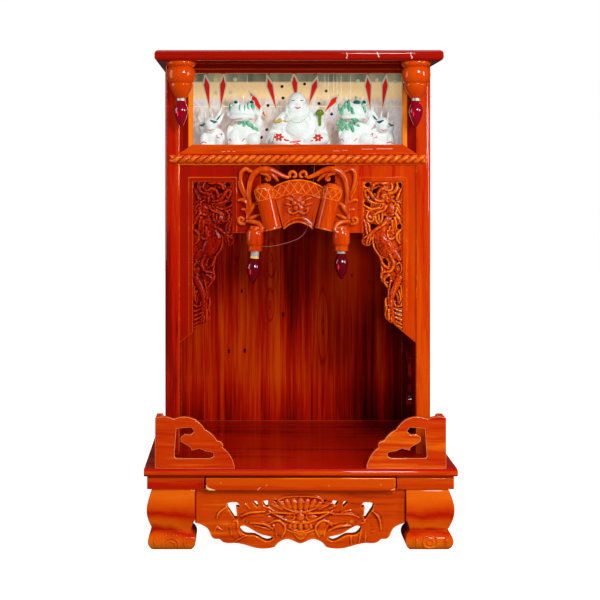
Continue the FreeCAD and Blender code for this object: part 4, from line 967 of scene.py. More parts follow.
# Domes of the dragon as (out, down, wide, tall, high): pupil, cheek, haunch and brow
DRAGON_DOMES = ((33, 25.4, 3.6, 3.6, 4.2), (46, 44.4, 12, 18, 4.2), (56.6, 143.6, 9, 14, 3.6),
                (40, 24, 22, 20, 2.6))
TOOTH, TAIL_BEAD = (2.4, 3, 3), (2.2, 2.6, 5.4)


class CABINET_OT_dragons(bpy.types.Operator):
    """The carved dragons in the two windows of the arch, one the mirror image of the other"""

    bl_idname = "cabinet.dragons"
    bl_label = "Dragons"
    window_from_panel_edge, ground_depth = 45 * MM, 8 * MM

    def execute(self, context):
        corner = low("arch_panel_right").x + self.window_from_panel_edge, high("dragon_right").z
        carving = Carving(corner, low("dragon_right").y + self.ground_depth)
        carving.backing("dragon_right")
        carving.ridges(BODY, depth=0.5, lift=0.1)
        carving.ridges(TAIL, depth=0.8)
        carving.domes(DRAGON_DOMES)
        carving.domes([(*place, *TOOTH) for place in TEETH])
        carving.domes([(*place, *TAIL_BEAD) for place in TAIL_BEADS])
        for strokes in (HORNS, BROW, SNOUT, JAW, CHEEK, BEARD, WHISKERS, CLAWS, MANE, BELLY,
                        HIND_LEG, FINS):
            carving.ridges(strokes, depth=1.5)
        right = carving.remeshed("dragon_right_carved", context.scene.cabinet_make.carving_step)
        left = mirrored(right, "dragon_left_carved")
        # The left dragon's darker finish is painted shade
        for name, mesh, finish in (("right", right, "dragon"), ("left", left, "carved_left_shaded")):
            mesh.materials.append(finishes[finish])
            piece = bpy.data.objects.new(f"dragon_{name}_carved", mesh)
            settle(piece, "cabinet", "amber_lacquer", "dragon_" + name)
        return {"FINISHED"}


# Valance: strokes of (out, down, radius) or with a height, from the middle of the arch's top
CENTRE_CURL = (
    ((12.9, 20.9, 2), (14.3, 13.8, 2.2), (8.6, 10.2, 2.2), (2.9, 14.5, 2), (4.3, 20.9, 2),
     (8.6, 19.5, 1.2)),
)
MAIN_STEM = (
    ((14.3, 20.9, 2), (21.5, 19.5, 2.6), (33, 13.8, 3.2), (43, 8.7, 3.8), (53, 6.6, 4),
     (63.1, 8.7, 3.8), (71.7, 15.2, 3.6), (76.7, 25.2, 3.4), (78.8, 38.1, 3.2), (79.6, 51, 3),
     (77.4, 62.5, 2.8), (78.8, 74, 2.6), (81.7, 86.8, 2.2)),
    ((50.2, 10.9, 2), (43, 15.2, 2.6), (35.8, 20.9, 2.4), (31.5, 26.7, 0.8)),
    ((60.2, 13.8, 1.8), (51.6, 14.5, 2.2), (45.9, 19.5, 2.2), (45.9, 25.2, 2), (50.9, 25.2, 1.6),
     (51.6, 20.9, 1)),
)
OUTER_LOOP = (
    ((72.4, 10.9, 1.4), (77.4, 10.9, 2.4), (83.1, 5.9, 2.8), (90.3, 9.5, 2.8), (92.5, 18.1, 2.6),
     (91.7, 29.5, 2.4), (87.4, 41, 2.2), (83.1, 51, 1.8)),
    ((96, 26.7, 0.8), (93.2, 36.7, 1.8), (87.4, 48.2, 2), (83.9, 55.3, 1.6)),
)
LOWER_CURLS = (
    ((81.7, 76.8, 2), (79.6, 68.2, 2.4), (83.1, 59.6, 2.6), (91.7, 55.3, 2.4), (97, 58.2, 1.2)),
    ((81, 79.7, 1.8), (83.1, 74, 2), (87.4, 71.1, 1.8), (91, 72.5, 1)),
    ((84.6, 95.4, 2), (93.2, 95.4, 2.4), (96, 89.7, 2.2), (93.2, 84.7, 2), (87.4, 86.8, 1.8),
     (88.2, 91.1, 1.4), (91.7, 91.1, 1)),
)
FRONT_CURL = (
    ((83.1, 91.1, 2.2, 2), (73.1, 91.1, 2.8, 8), (63.1, 94, 3, 13), (57.3, 101.2, 3, 17),
     (58.8, 107.3, 2.8, 18), (65.9, 108.3, 2.4, 18), (69.5, 104, 2, 18), (65.9, 99.7, 1.4, 18),
     (61.6, 102.6, 1, 18)),
)
SIDE_LEAVES = (
    ((80.3, 79.7, 2.4), (74.5, 69.6, 3.4), (68.8, 62.5, 2.6), (64.5, 62.5, 0.9)),
    ((78.8, 88.3, 2.2), (70.2, 82.5, 2.8), (61.6, 80.4, 0.9)),
)
# Arcs of the fan as (half width, level of its ends, level of its middle)
FAN_TOP, FAN_FOOT = (41, 36.7, 23.9), (23.5, 104.2, 93.2)
FAN_BORDER, FAN_BAND = (23.5, 99.6, 86.2), (36, 55, 46)
# Ridges along the arcs as (arc, reach, drop, radius)
FAN_RIDGES = ((FAN_TOP, 41, 1, 1.5), (FAN_FOOT, 23.5, -1.2, 1.7), (FAN_BORDER, 23.5, -1, 1.1),
              (FAN_BAND, 37, 0, 1.1))
FAN_FACE, FAN_DEPTH = 6.5, 10.5
ROLL_HEAD, ROLL_SOLE, ROLL_RADIUS, ROLL_HEIGHT = (56, 39), (40.7, 104.2), 14.6, 11.5
ROLL_SECTION = ((0, 0), (14.8, 0), (15.2, 1.2), (14.6, 3), (14.6, 64), (14.2, 68.5), (12.4, 72),
                (8, 75), (0, 76))
BLOSSOM_STEMS = (
    ((0, 74.5, 1.1), (5, 78.4, 1.4), (11.5, 78.6, 1.4), (16, 74.6, 1.3), (14.8, 70.2, 1.1),
     (11.2, 71.4, 0.7)),
    ((9.5, 58.5, 0.7), (14.4, 54.2, 1.9), (20.5, 54, 0.6)),
    ((10.6, 65.6, 0.7), (16.6, 63, 1.9), (22.4, 62.4, 0.6)),
    ((5.4, 51.6, 0.6), (8.6, 48.4, 1.4), (13.5, 48.2, 0.6)),
)


def arc_down(arc, out):
    """How far down a shallow arc lies at a place."""
    half, ends, middle = arc
    return middle + (ends - middle) * (out / half) ** 2


def along(arc, reach, steps, drop=0):
    """Places along an arc, at shares of a reach to either side."""
    return [(reach * step, arc_down(arc, reach * step) + drop) for step in steps]


class CABINET_OT_valance(bpy.types.Operator):
    """The valance: scrolls, two rolls and a fan with a lattice band and a blossom"""

    bl_idname = "cabinet.valance"
    bl_label = "Valance"
    ground_depth, cell = 4.5 * MM, 1.05
    lattice_pitch, lattice_radius, lattice_taper, lattice_drop = 13.6, 0.75, 0.93, 1.5
    roll_lattice_low, roll_lattice_high, roll_lattice_turn, roll_lattice_lift = 51, 68, 50, 0.1
    blossom_middle, petals, petal_reach = 64, 5, 6.4

    def fan(self, carving):
        """The fan's plate with ridges along its edges and its band."""
        steps = [index / 12 for index in range(-12, 13)]
        ring = along(FAN_TOP, FAN_TOP[0], steps) + along(FAN_FOOT, FAN_FOOT[0], steps[::-1])
        bm = bmesh.new()
        prism(bm, [carving.place(*place, FAN_FACE) for place in ring], FAN_DEPTH * MM)
        poured(bm, carving.bm)
        carving.ridges([[(*place, radius, FAN_FACE)
                         for place in along(arc, reach, steps[::2], drop)]
                        for arc, reach, drop, radius in FAN_RIDGES], lift=0)

    def roll(self, carving):
        """One roll beside the fan, and the frame it is turned in."""
        head, sole = (carving.place(*end, ROLL_HEIGHT) for end in (ROLL_HEAD, ROLL_SOLE))
        frame_of_roll = (Matrix.Translation(sole)
                         @ (head - sole).to_track_quat("Z", "Y").to_matrix().to_4x4())
        bm = lathe(ROLL_SECTION)
        bmesh.ops.transform(bm, matrix=frame_of_roll, verts=bm.verts)
        poured(bm, carving.bm)
        return frame_of_roll

    def fan_lattice(self, carving):
        """Fine crossed ridges on the fan."""
        strokes = []
        for cell in range(-3, 3):
            for first, last in ((cell, cell + 1), (cell + 1, cell)):
                start = first * self.lattice_pitch
                end = self.lattice_taper * (last * self.lattice_pitch)
                ends = ((start, arc_down(FAN_TOP, start) + self.lattice_drop),
                        (end, arc_down(FAN_BAND, end)))
                strokes.append([(*place, self.lattice_radius, FAN_FACE) for place in ends])
        carving.ridges(strokes, lift=0)

    def roll_lattice(self, carving, frame_of_roll):
        """Fine crossed lines round the head of a roll, between two rings."""
        low_end, high_end = self.roll_lattice_low * MM, self.roll_lattice_high * MM
        runs = []
        for cell in range(-2, 2):
            for level, other in ((low_end, high_end), (high_end, low_end)):
                runs.append([(self.roll_lattice_turn * (cell + part / 8),
                              level + (other - level) * part / 8) for part in range(9)])
        for level in (low_end - 1 * MM, high_end):
            runs.append([(10 * step, level) for step in range(-11, 12)])
        front = frame_of_roll.inverted().to_3x3() @ Vector((0, -1, 0))
        spin = Matrix.Rotation(-math.atan2(front.x, front.y), 4, "Z")
        skin = (ROLL_RADIUS + self.roll_lattice_lift) * MM
        for run in runs:
            line = [frame_of_roll @ spin @ Vector((skin * math.sin(math.radians(turn)),
                                                   skin * math.cos(math.radians(turn)), level))
                    for turn, level in run]
            carving.take(taken_mesh(tube("line", line, self.lattice_radius * MM, 2)))

    def blossom(self, carving):
        for petal in range(self.petals):
            turn = 2 * math.pi * petal / self.petals
            carving.dome(self.petal_reach * math.sin(turn),
                         self.blossom_middle - self.petal_reach * math.cos(turn), 8, 9.4, 2.6,
                         math.degrees(turn), FAN_FACE)
        carving.dome(0, self.blossom_middle, 5, 5, 3.6, 0, FAN_FACE)

    def execute(self, context):
        carving = Carving((0, ARCH_TOP), PANEL_FRONT - self.ground_depth)
        self.fan(carving)
        self.blossom(carving)
        rolls = []
        for carving.side in (LEFT, RIGHT):
            for strokes in (CENTRE_CURL, MAIN_STEM, OUTER_LOOP, LOWER_CURLS, SIDE_LEAVES):
                carving.ridges(strokes, swell=1.35, lift=0.2, depth=1.15)
            carving.ridges(FRONT_CURL, swell=1.25)
            carving.ridges([[(*point, FAN_FACE) for point in stroke] for stroke in BLOSSOM_STEMS],
                           swell=1.2)
            rolls.append(self.roll(carving))
        mesh = carving.remeshed("valance_carved",
                                self.cell * context.scene.cabinet_make.carving_step)
        fine = Carving((0, ARCH_TOP), carving.ground)
        self.fan_lattice(fine)
        for frame_of_roll in rolls:
            self.roll_lattice(fine, frame_of_roll)
        added(smoothed(fine.bm), mesh)
        mesh.materials.append(finishes["carved"])
        settle(bpy.data.objects.new("valance_carved", mesh), "cabinet", "amber_lacquer", "valance")
        return {"FINISHED"}


# Apron: domes of (out, down, wide, tall, high, turn) and strokes, from the middle of its top edge
MASK_DOMES = (
    (9.5, 22.5, 9.4, 19, 3.2, 12), (18.5, 22.5, 9, 18, 3, 32), (27, 23.5, 8, 17, 2.6, 50),
    (17.5, 41, 15, 7.5, 2.8, 8), (9, 55.4, 7.4, 11, 3.4, -14), (15.4, 56.2, 5.6, 8.4, 2.8, -36),
    (32, 60, 15, 22, 2.4, 20), (66, 44, 50, 15, 2.4, -3), (100, 62, 16, 26, 1.6, 10),
)
MASK_MIDDLE = (
    (0, 22, 9.6, 20, 3.6, 0), (0, 41.4, 13, 13, 4, 0), (0, 55.6, 8, 13, 3.8, 0),
    (0, 70, 15, 9, 2.6, 0),
)
MASK = (
    ((0, 9.8, 1.1), (12.8, 10.4, 1.1), (29, 11.4, 1.1), (35.5, 17.7, 0.9)),
    ((0, 34.4, 1.3), (9.6, 33.9, 1.3), (25.8, 27, 1.2), (38.8, 22.4, 0.8)),
    ((46, 21.5, 0.8), (38, 25, 1.6), (28, 30, 0.9)),
    ((49.1, 32.3, 1), (34.6, 40.5, 1.7), (15, 49.8, 1.6), (0, 51, 1.3)),
    ((53.9, 38.6, 0.9), (44.9, 33.4, 1.3), (29.5, 35.4, 1.5), (10.9, 36.2, 1.3), (5, 36.4, 1)),
    ((10.9, 36.4, 1.1), (8.3, 40.5, 1.3), (10.9, 45.7, 1.3), (17.1, 46.7, 1.2),
     (26.4, 43.2, 0.9)),
    ((0, 47.2, 1.1), (10.7, 49.4, 1.2), (18.2, 55.5, 1.2), (12.8, 61, 1.2), (2, 64, 1.2),
     (0, 64.2, 1.2)),
    ((0, 66.8, 1.2), (9.6, 65.6, 1.2), (18, 62.6, 1.1), (23.6, 61, 0.8)),
    ((0, 75.6, 1.3), (4.5, 74.4, 1.3), (9.6, 67, 0.9)),
    ((49.1, 52.9, 0.9), (37.7, 44.9, 1.5), (26.4, 50.8, 1.5), (21.4, 61.2, 1.5), (29, 73, 1.1)),
    ((41.9, 57, 0.8), (33, 60.4, 1.2), (31, 69.4, 0.8)),
    ((43, 53.6, 0.8), (36.4, 60, 1.3), (36.6, 72, 0.8)),
)
LEFT_LIMB = (
    ((92.4, 41, 0.9), (83.1, 35.6, 1.6), (68, 33.6, 1.7), (55.3, 33.4, 1.1)),
    ((77.9, 50.4, 1.2), (64, 50.6, 2.2), (52.2, 52.4, 2.2), (42.4, 60.4, 1.1)),
    ((71, 55, 0.8), (60, 56.8, 1.2), (47, 61, 0.9)),
    ((88.2, 48.8, 0.8), (87.2, 44, 1.1), (81.4, 43.2, 1.1), (82, 50, 0.8)),
    ((102.7, 48.4, 0.9), (97, 46, 1.4), (96.3, 53.4, 1.4), (96.7, 61.4, 1.4), (91.3, 69.8, 1)),
    ((107.8, 55.6, 0.7), (107, 62, 1.1), (105.6, 70, 0.6)),
    ((128.4, 44.7, 0.9), (127.4, 37.4, 1.3), (120.2, 30.2, 1.3), (113.6, 27, 0.8)),
    ((132.6, 65.3, 0.5), (129.5, 55, 0.9), (126.4, 59.4, 0.8), (119.2, 61.4, 0.5)),
    ((101.6, 80, 0.6), (91.3, 72.9, 1), (83.1, 70.6, 0.6)),
    ((58, 24.6, 0.8), (49, 27, 1.3), (42.6, 31.6, 0.8)),
    ((86, 21.4, 0.7), (80.4, 24.4, 1.1), (78, 29.6, 0.6)),
)
RIGHT_LIMB = (
    ((90.6, 42.8, 0.9), (84, 38.4, 1.5), (70, 36.2, 1.6), (53.9, 37.2, 1)),
    ((43.1, 63.4, 1.1), (51.7, 56.6, 2.4), (71.2, 54.2, 2.3), (78, 54.6, 1)),
    ((62.5, 35, 0.8), (70, 31.2, 1.3), (77.6, 31.9, 0.7)),
    ((47.4, 44.7, 0.8), (56, 39.6, 1.1), (62.5, 43.2, 1.1), (55, 46.6, 1), (47.4, 46.6, 0.7)),
    ((43.1, 51.4, 0.8), (53, 53, 1.2), (60.6, 49, 0.8)),
    ((40.9, 49, 0.6), (45, 53.4, 1.1), (50, 56.4, 0.6)),
    ((70.1, 42.5, 0.9), (73.1, 47.9, 1.3), (71, 54, 0.9)),
    ((82.6, 43.8, 0.7), (84, 49, 1), (80, 53, 0.7)),
    ((38.8, 20.9, 0.8), (47.4, 19.6, 1.4), (56.4, 24.8, 1.2), (44, 28.6, 0.8)),
    ((109, 31.7, 1), (117.6, 37.1, 1.6), (123, 47.9, 1.6), (124.1, 62, 0.9)),
    ((77.6, 70.4, 0.9), (77.8, 77, 1.2), (78.2, 84, 0.8)),
    ((93.8, 60.6, 0.9), (91.6, 71, 1.3), (89.6, 84, 0.8)),
    ((100.3, 58.4, 0.9), (100.4, 70, 1.3), (99.2, 81, 0.8)),
    ((97.1, 45.7, 0.8), (102.5, 50.1, 1.2), (92.6, 51.4, 0.8)),
    ((107.9, 63.4, 0.5), (112, 64.2, 0.9), (116.4, 63, 0.5)),
)


class CABINET_OT_apron(bpy.types.Operator):
    """The front apron, carved with a mask between two limbs"""

    bl_idname = "cabinet.apron"
    bl_label = "Front apron"
    top_drop, ground_depth, cell = 2 * MM, 4.6 * MM, 1.25
    knee = (77.6, 47.9, 9, 9, 3)

    def execute(self, context):
        carving = Carving((0, high("apron_front").z - self.top_drop),
                          low("apron_front").y + self.ground_depth)
        carving.backing("apron_front")
        carving.domes(MASK_MIDDLE)
        for carving.side, limb in ((LEFT, LEFT_LIMB), (RIGHT, RIGHT_LIMB)):
            carving.domes(MASK_DOMES)
            carving.ridges(MASK + limb, lift=0.6, depth=1.25)
        carving.dome(*self.knee)
        mesh = carving.remeshed("apron_carved",
                                self.cell * context.scene.cabinet_make.carving_step)
        mesh.materials.append(finishes["carved_apron"])
        settle(bpy.data.objects.new("apron_carved", mesh), "cabinet", "amber_lacquer",
               "apron_front")
        return {"FINISHED"}


# Front legs: the foot carving, as strokes of (out, up, radius) from the foot's outer side
ALMONDS = (((13.6, 6.5, 0.5), (12.2, 13.5, 1.4), (13.4, 20.5, 0.5)),
           ((15, 7, 0.4), (16, 13.5, 0.7), (15, 20, 0.4)),
           ((59.6, 3.5, 0.5), (58, 12, 1.5), (59, 20.5, 0.5)),
           ((61, 4, 0.4), (62.6, 12, 0.8), (61.4, 20, 0.4)))
FAN_ON_FOOT = (
    ((24.8, 4.5, 0.8), (25.3, 12, 1.2), (30.5, 17.6, 1.3), (37.5, 19.2, 1.3), (44.5, 17.6, 1.3),
     (48.8, 12, 1.2), (48.8, 4.5, 0.8)),
    ((30, 5, 0.6), (31, 11, 0.9), (37.2, 14.4, 0.9), (43.6, 11, 0.9), (44.4, 5, 0.6)),
    ((28.4, 19.4, 0.4), (30.4, 22.6, 1), (29.6, 24.4, 0.4)),
    ((32.6, 20.6, 0.4), (33.8, 24, 1), (33.4, 26, 0.4)),
    ((37.3, 21.2, 0.4), (37.6, 24.8, 1), (37.4, 26.8, 0.4)),
    ((42, 20.6, 0.4), (41.4, 24, 1), (41.8, 26, 0.4)),
    ((46.4, 19.4, 0.4), (45.2, 22.6, 1), (46, 24.4, 0.4)),
)
BOSS_ON_FOOT = (
    ((26, 13, 1.3), (28.5, 20, 1.3), (37.5, 22.4, 1.3), (46.5, 20, 1.3), (49, 13, 1.3),
     (46.5, 6, 1.3), (37.5, 3.6, 1.3), (28.5, 6, 1.3), (26, 13, 1.3)),
    ((32.4, 13, 0.9), (34.6, 16.6, 0.9), (40.4, 16.6, 0.9), (42.6, 13, 0.9), (40.4, 9.4, 0.9),
     (34.6, 9.4, 0.9), (32.4, 13, 0.9)),
)


def upwards(strokes):
    """Strokes of (out, up, radius) as (out, down, radius)."""
    return [[(out, -up, radius) for out, up, radius in stroke] for stroke in strokes]


class CABINET_OT_legs(bpy.types.Operator):
    """The front legs, with a fan carved on the left foot and an oval boss on the right one"""

    bl_idname = "cabinet.legs"
    bl_label = "Front legs"
    edge, sharper_than = 1.6 * MM, 50

    def execute(self, context):
        for node, side, outer, marks in (("leg_front_left", LEFT, low, FAN_ON_FOOT),
                                         ("leg_front_right", RIGHT, high, BOSS_ON_FOOT)):
            leg = softened(node, "leg", edge=self.edge, sharper_than=self.sharper_than)
            carving = Carving((outer(node).x, 0), low(node).y, -side)
            carving.ridges(carving.laid(upwards(ALMONDS + marks), tree_of(leg.data)), swell=1.35,
                           lift=0.15)
            added(smoothed(carving.bm), leg.data)
        return {"FINISHED"}


# Tray front: nail heads as (across, up), and the splinters of its broken corner as strokes
NAILS = (-122.2, 104.5), (-52.3, 100.5), (43.1, 100), (122.6, 101.6)
SPLINTERS = (((-143.8, 97.4, 1.6), (-142, 94.8, 2.2), (-137, 94.2, 1.6)),
             ((-144, 101, 0.6), (-143.8, 97, 1.2)), ((-139, 94.2, 1.6), (-131, 93.4, 0.7)),
             ((-66, 93.6, 0.5), (-63.2, 96.4, 0.6), (-61.6, 98, 0.2)),
             ((143.6, 96, 0.6), (142.2, 93.8, 1), (138, 93.3, 0.5)))


class CABINET_OT_tray(bpy.types.Operator):
    """The tray's front with its nail heads and its broken corner in bare wood"""

    bl_idname = "cabinet.tray"
    bl_label = "Tray front"
    edge, nail_size = 1.2 * MM, (2.4, 2.4, 0.5)

    def execute(self, context):
        tray = softened("tray_front", "amber_X", edge=self.edge)
        front = low("tray_front").y
        broken = Carving((0, 0), front)
        broken.ridges(upwards(SPLINTERS), lift=-0.2, depth=0.7)
        nails = Carving((0, 0), front)
        nails.domes([(across, -up, *self.nail_size) for across, up in NAILS])
        for finish, fine in (("bare", broken), ("nail", nails)):
            added(smoothed(fine.bm), tray.data, finish)
        return {"FINISHED"}


# Lamps: sections as (radius, level) downwards from the cap's top
BULB_SECTION = ((0, 0), (5.4, 0), (6.4, -2.6), (9.2, -8), (11.1, -13), (11.4, -16.6), (10.4, -22.4),
                (7.8, -30), (4.4, -37.4), (1.8, -41.2), (0, -42))
CAP_SECTION = ((0, 0), (6.8, 0), (6.8, -1), (6.2, -1.6), (6.8, -2.2), (6.8, -4), (0, -4))
LOOSE_CAP_SECTION = ((0, 0), (6.4, 0), (6.4, -1.4), (6.9, -2.2), (6.4, -3.2), (6.9, -4.2),
                     (6.4, -5.2), (6.9, -6.2), (6.4, -7.4), (6.6, -9.4), (0, -9.4))
RING_SECTION = ((0, -9.4), (6.9, -9.4), (6.9, -12), (0, -12))


class CABINET_OT_lamps(bpy.types.Operator):
    """Ruby lamps and their caps under the pendants and the cups"""

    bl_idname = "cabinet.lamps"
    bl_label = "Lamps"
    steps = 28
    glow_place, glow_sizes = Vector((-4.6, -9.2, -19)), (1.3 * MM, 0.9 * MM, 7 * MM)

    def execute(self, context):
        caps, bulbs = bmesh.new(), bmesh.new()
        for node in ("pendant_left", "pendant_right", "lamp_cup_left", "lamp_cup_right"):
            middle = 0.5 * (low(node) + high(node))
            foot = Vector((middle.x, middle.y, low(node).z))
            parts, drop, lean = [(caps, CAP_SECTION, 0, 0)], 4, 0
            if node == "lamp_cup_left":
                parts = [(caps, LOOSE_CAP_SECTION, 0, 0), (caps, RING_SECTION, 1, 0)]
                drop, lean = 12, 5
            tilt = Matrix.Rotation(math.radians(lean), 4, "Y")
            for target, section, index, level in (
                    *parts, (bulbs, BULB_SECTION, 2 if "cup" in node else 0, drop)):
                piece = lathe(section, self.steps)
                for face in piece.faces:
                    face.material_index = index
                bmesh.ops.transform(piece, verts=piece.verts, matrix=Matrix.Translation(foot)
                                    @ tilt @ Matrix.Translation((0, 0, -level * MM)))
                poured(piece, target)
            # A small glowing body in each bulb: a painted red reflection
            spot = foot + tilt @ (MM * (self.glow_place - Vector((0, 0, drop))))
            for face in ball(bulbs, spot, self.glow_sizes, math.radians(6)):
                face.material_index = 1
        settle(object_from(smoothed(caps), "lamp_caps_turned", "silver", "cap_ring"), "cabinet",
               "lamp_metal", "lamp_caps")
        settle(object_from(smoothed(bulbs), "lamp_bulbs_blown", "ruby", "glow", "ruby_shaded",
                           round_below=math.radians(60)), "cabinet", "ruby_glass", "lamp_bulbs")
        return {"FINISHED"}


# Halo panel: rays as tip and tail, and dots, from the middle of the shelf's top
RAYS = (((-152.8, 128.4), (-144, 60)), ((-120.7, 128.4), (-127, 60)),
        ((-80.1, 99.7), (-44, 44)), ((-48.9, 126.7), (-30, 58)),
        ((-3.3, 130.1), (2.6, 70)), ((38.1, 124.2), (20, 66)), ((74.4, 93), (44, 56)),
        ((120.9, 127), (127, 60)), ((153.8, 127), (146, 60)))
DARK_DOTS = ((-22.7, 105), (-21, 85.6), (-46.3, 72.9), (15.3, 109.2), (51.6, 97.4),
             (39.8, 76.3), (-48.4, 32), (-57.5, 19), (61, 58.4))
PALE_DOTS = ((-135, 116.8), (-102.1, 116.8), (-134.2, 94), (-108.9, 94.8), (105.7, 114.3),
             (137.8, 116), (168.2, 112.6))
# Painted reflections: pale streaks down the pane from its top, as (across, length)
STREAKS = (44.7, 40), (50.1, 46), (59, 32), (64.4, 34), (71, 42), (86, 50), (-81.6, 22)


class CABINET_OT_halo(bpy.types.Operator):
    """The mirror panel behind the figures, with painted rays and small dots, and the pane with pale
    streaks that are painted reflections
    """

    bl_idname = "cabinet.halo"
    bl_label = "Halo panel"
    shoulder, ray_width, rim = 0.27, 14, 2.4
    paint, dot_height, pane_edge = 0.3 * MM, 1 * MM, 0.3 * MM
    tip_rim, tail_rim = 2.6 * rim, 3 * rim
    streak_wide, streak_deep, streak_margin = 0.9 * MM, 0.1 * MM, 2 * MM

    def kite(self, bm, tip, tail, width, front, index):
        """One painted ray, widest near its tip."""
        run = tail - tip
        shoulder = tip + run * self.shoulder
        beside = Vector((-run.y, run.x)).normalized() * width / 2
        outline = [Vector((point.x * MM, front, SHELF_TOP + point.y * MM))
                   for point in (tip, shoulder + beside, tail, shoulder - beside)]
        for face in prism(bm, outline, high("halo_panel").y - front):
            face.material_index = index

    def execute(self, context):
        front = low("halo_panel").y
        bm = merged("halo_panel")
        for tip, tail in RAYS:
            tip, tail = Vector(tip), Vector(tail)
            self.kite(bm, tip, tail, self.ray_width, front - self.paint, 1)
            step = (tail - tip).normalized()
            self.kite(bm, tip + step * self.tip_rim, tail - step * self.tail_rim,
                      self.ray_width - 2 * self.rim, front - 2 * self.paint, 2)
        for dots, size, index in ((DARK_DOTS, 5.4, 3), (PALE_DOTS, 7, 1)):
            for out, up in dots:
                for face in ball(bm, (out * MM, front, SHELF_TOP + up * MM),
                                 (size / 2 * MM, self.dot_height, size / 2 * MM)):
                    face.material_index, face.smooth = index, True
        panel = object_from(bm, "halo_panel_painted", "halo", "ray_rim", "ray_red", "black_paint")
        settle(panel, "cabinet", "gilt_mirror", "halo_panel")
        glass = softened("glass_pane", "pane", rim="pane", edge=self.pane_edge)
        top, front = high("glass_pane").z - self.streak_margin, low("glass_pane").y
        # Pale strips on the pane: painted reflections
        bm = bmesh.new()
        for out, length in STREAKS:
            flake(bm, (out * MM, front, top - 0.5 * length * MM),
                  (self.streak_wide, self.streak_deep, length * MM))
        added(bm, glass.data, "pane_reflections")
        return {"FINISHED"}


# Porcelain, from 100 above the shelf: masses as (out, down, wide, tall, high, turn, height), limbs
# as strokes, and paint as (finish, swell, strokes) laid on the glaze
FIGURE_MASSES = (
    (1, 24, 30, 33, 15, 0, 2), (1, 35, 40, 27, 15, 0, 3), (1, 43, 37, 13, 13, 0, 3),
    (1, 64, 60, 62, 20, 0, 0), (1, 69, 46, 46, 22, 0, 8), (-9, 53, 24, 17, 10, 12, 9),
    (12, 53, 24, 17, 10, -12, 9), (-27, 88, 46, 27, 20, 14, 12), (32, 88, 44, 27, 20, -14, 12),
    (1, 98, 98, 12, 30, 0, 2), (-16.6, 36, 6, 17, 8, 5, 4), (18.6, 36, 6, 17, 8, -5, 4),
    (1.5, 29, 5.4, 5, 3.4, 0, 16), (-8.6, 31.5, 13, 12, 6, 0, 11), (11, 31.5, 13, 12, 6, 0, 11),
)
FIGURE_LIMBS = (
    ((-18, 46, 9, 0), (-29, 56, 9, 4), (-33, 66, 8.4, 9), (-24, 60, 5.6, 17), (-20, 58, 4, 19)),
    ((-30, 62, 8, 2), (-38, 78, 10, 2), (-42, 95, 11, 2)),
    ((20, 44, 9, 0), (33, 52, 9, 3), (41, 64, 8, 9), (38.4, 68, 5, 15)),
    ((38, 60, 8, 2), (44, 78, 9.6, 2), (46, 95, 10, 2)),
    ((-13, 46, 1.6, 15), (-21, 60, 1.8, 15), (-23, 74, 1.8, 17), (-12, 88, 1.6, 22)),
    ((15, 46, 1.6, 15), (24, 60, 1.8, 15), (25, 74, 1.8, 17), (14, 88, 1.6, 22)),
)
FIGURE_PAINT = (
    ("black_paint", 0.55, (
        ((-8.6, 21.6, 1), (-5.8, 22.4, 1), (-3, 21.6, 1)),
        ((5, 21.6, 1), (7.8, 22.4, 1), (10.6, 21.6, 1)),
    )),
    ("red_paint", 1, (
        ((-3.4, 33, 0.8), (1.4, 35, 1.5), (6.2, 33, 0.8)),
        ((-12, 91, 1), (-4, 90, 1.6), (6, 88.4, 1.4)), ((-4, 95, 1), (1, 93, 1.6), (5, 95, 1)),
        ((-22, 86, 1.6), (-18, 88, 1.6), (-13, 88, 1)), ((26, 88, 1), (22, 89, 1)),
        ((-40, 92, 0.8), (-38, 84, 0.8), (-37, 78, 0.6)),
    )),
    ("gold_paint", 0.5, (
        ((-40, 78, 0.8), (-45, 88, 1), (-49, 96, 0.8)),
        ((-18, 70, 0.6), (-13, 76, 1), (-4, 80, 0.6)),
    )),
)
# Flowers painted on the knees as (out, down, reach), and the curve that the beads hang in
FLOWERS = (-30, 83, 8.4), (34, 84, 8)
BEAD_ARC = (-18.8, 44.7), (1, 74.6), (20.6, 42.6)
# What the hands hold, as (finish, masses, strokes)
HELD = (("gold_paint", ((-32, 56.6, 15, 6, 4, 0, 20), (-36, 55, 5, 6, 3, 0, 20),
                        (-28, 54.6, 7, 6, 4, 0, 20), (-20, 56.4, 8, 4, 3, 0, 19)), ()),
        ("olive_paint", ((37.6, 43, 15, 9, 5, 0, 17), (37.6, 39.4, 10, 6, 4, 0, 17)),
         (((37.6, 45, 3, 17), (37.6, 54, 2.6, 17), (37.8, 64, 2.2, 16)),)),
        ("red_paint", ((37.6, 40.6, 2.6, 2, 1, 0, 21.4), (37.6, 49, 2.4, 2, 1, 0, 19.6)), ()))
BEAST_MASSES = (
    (0, 40, 46, 30, 14, 0, 10), (-2, 49, 43, 15, 12, 0, 16), (-11.6, 26, 11, 10, 7, 0, 14),
    (14.2, 26, 11, 10, 7, 0, 14), (-4, 37, 6, 15, 7, 0, 18), (2, 78, 56, 44, 17, 0, 0),
    (-16, 86, 18, 32, 10, 6, 12), (17, 88, 24, 26, 12, 0, 12), (0, 98, 62, 8, 22, 0, 4),
    (26, 60, 14, 20, 10, 20, 0), (-23, 42, 7, 14, 5, 12, 6), (24, 42, 7, 14, 5, -12, 6),
)
BEAST_LIMBS = (
    ((-10, 26, 2.2, 10), (-15, 19, 1.6, 8), (-14, 12, 0.6, 8)),
    ((9, 26, 2.2, 10), (12, 19, 1.6, 8), (16, 13, 0.6, 8)),
    ((0, 26, 2, 8), (1, 18, 1.4, 8), (0, 11, 0.5, 8)),
    ((24, 50, 5, 2), (31, 42, 4, 2), (30, 32, 1.4, 2)),
    ((-20, 64, 4, 8), (-26, 74, 3.4, 8), (-24, 84, 2, 8)),
)
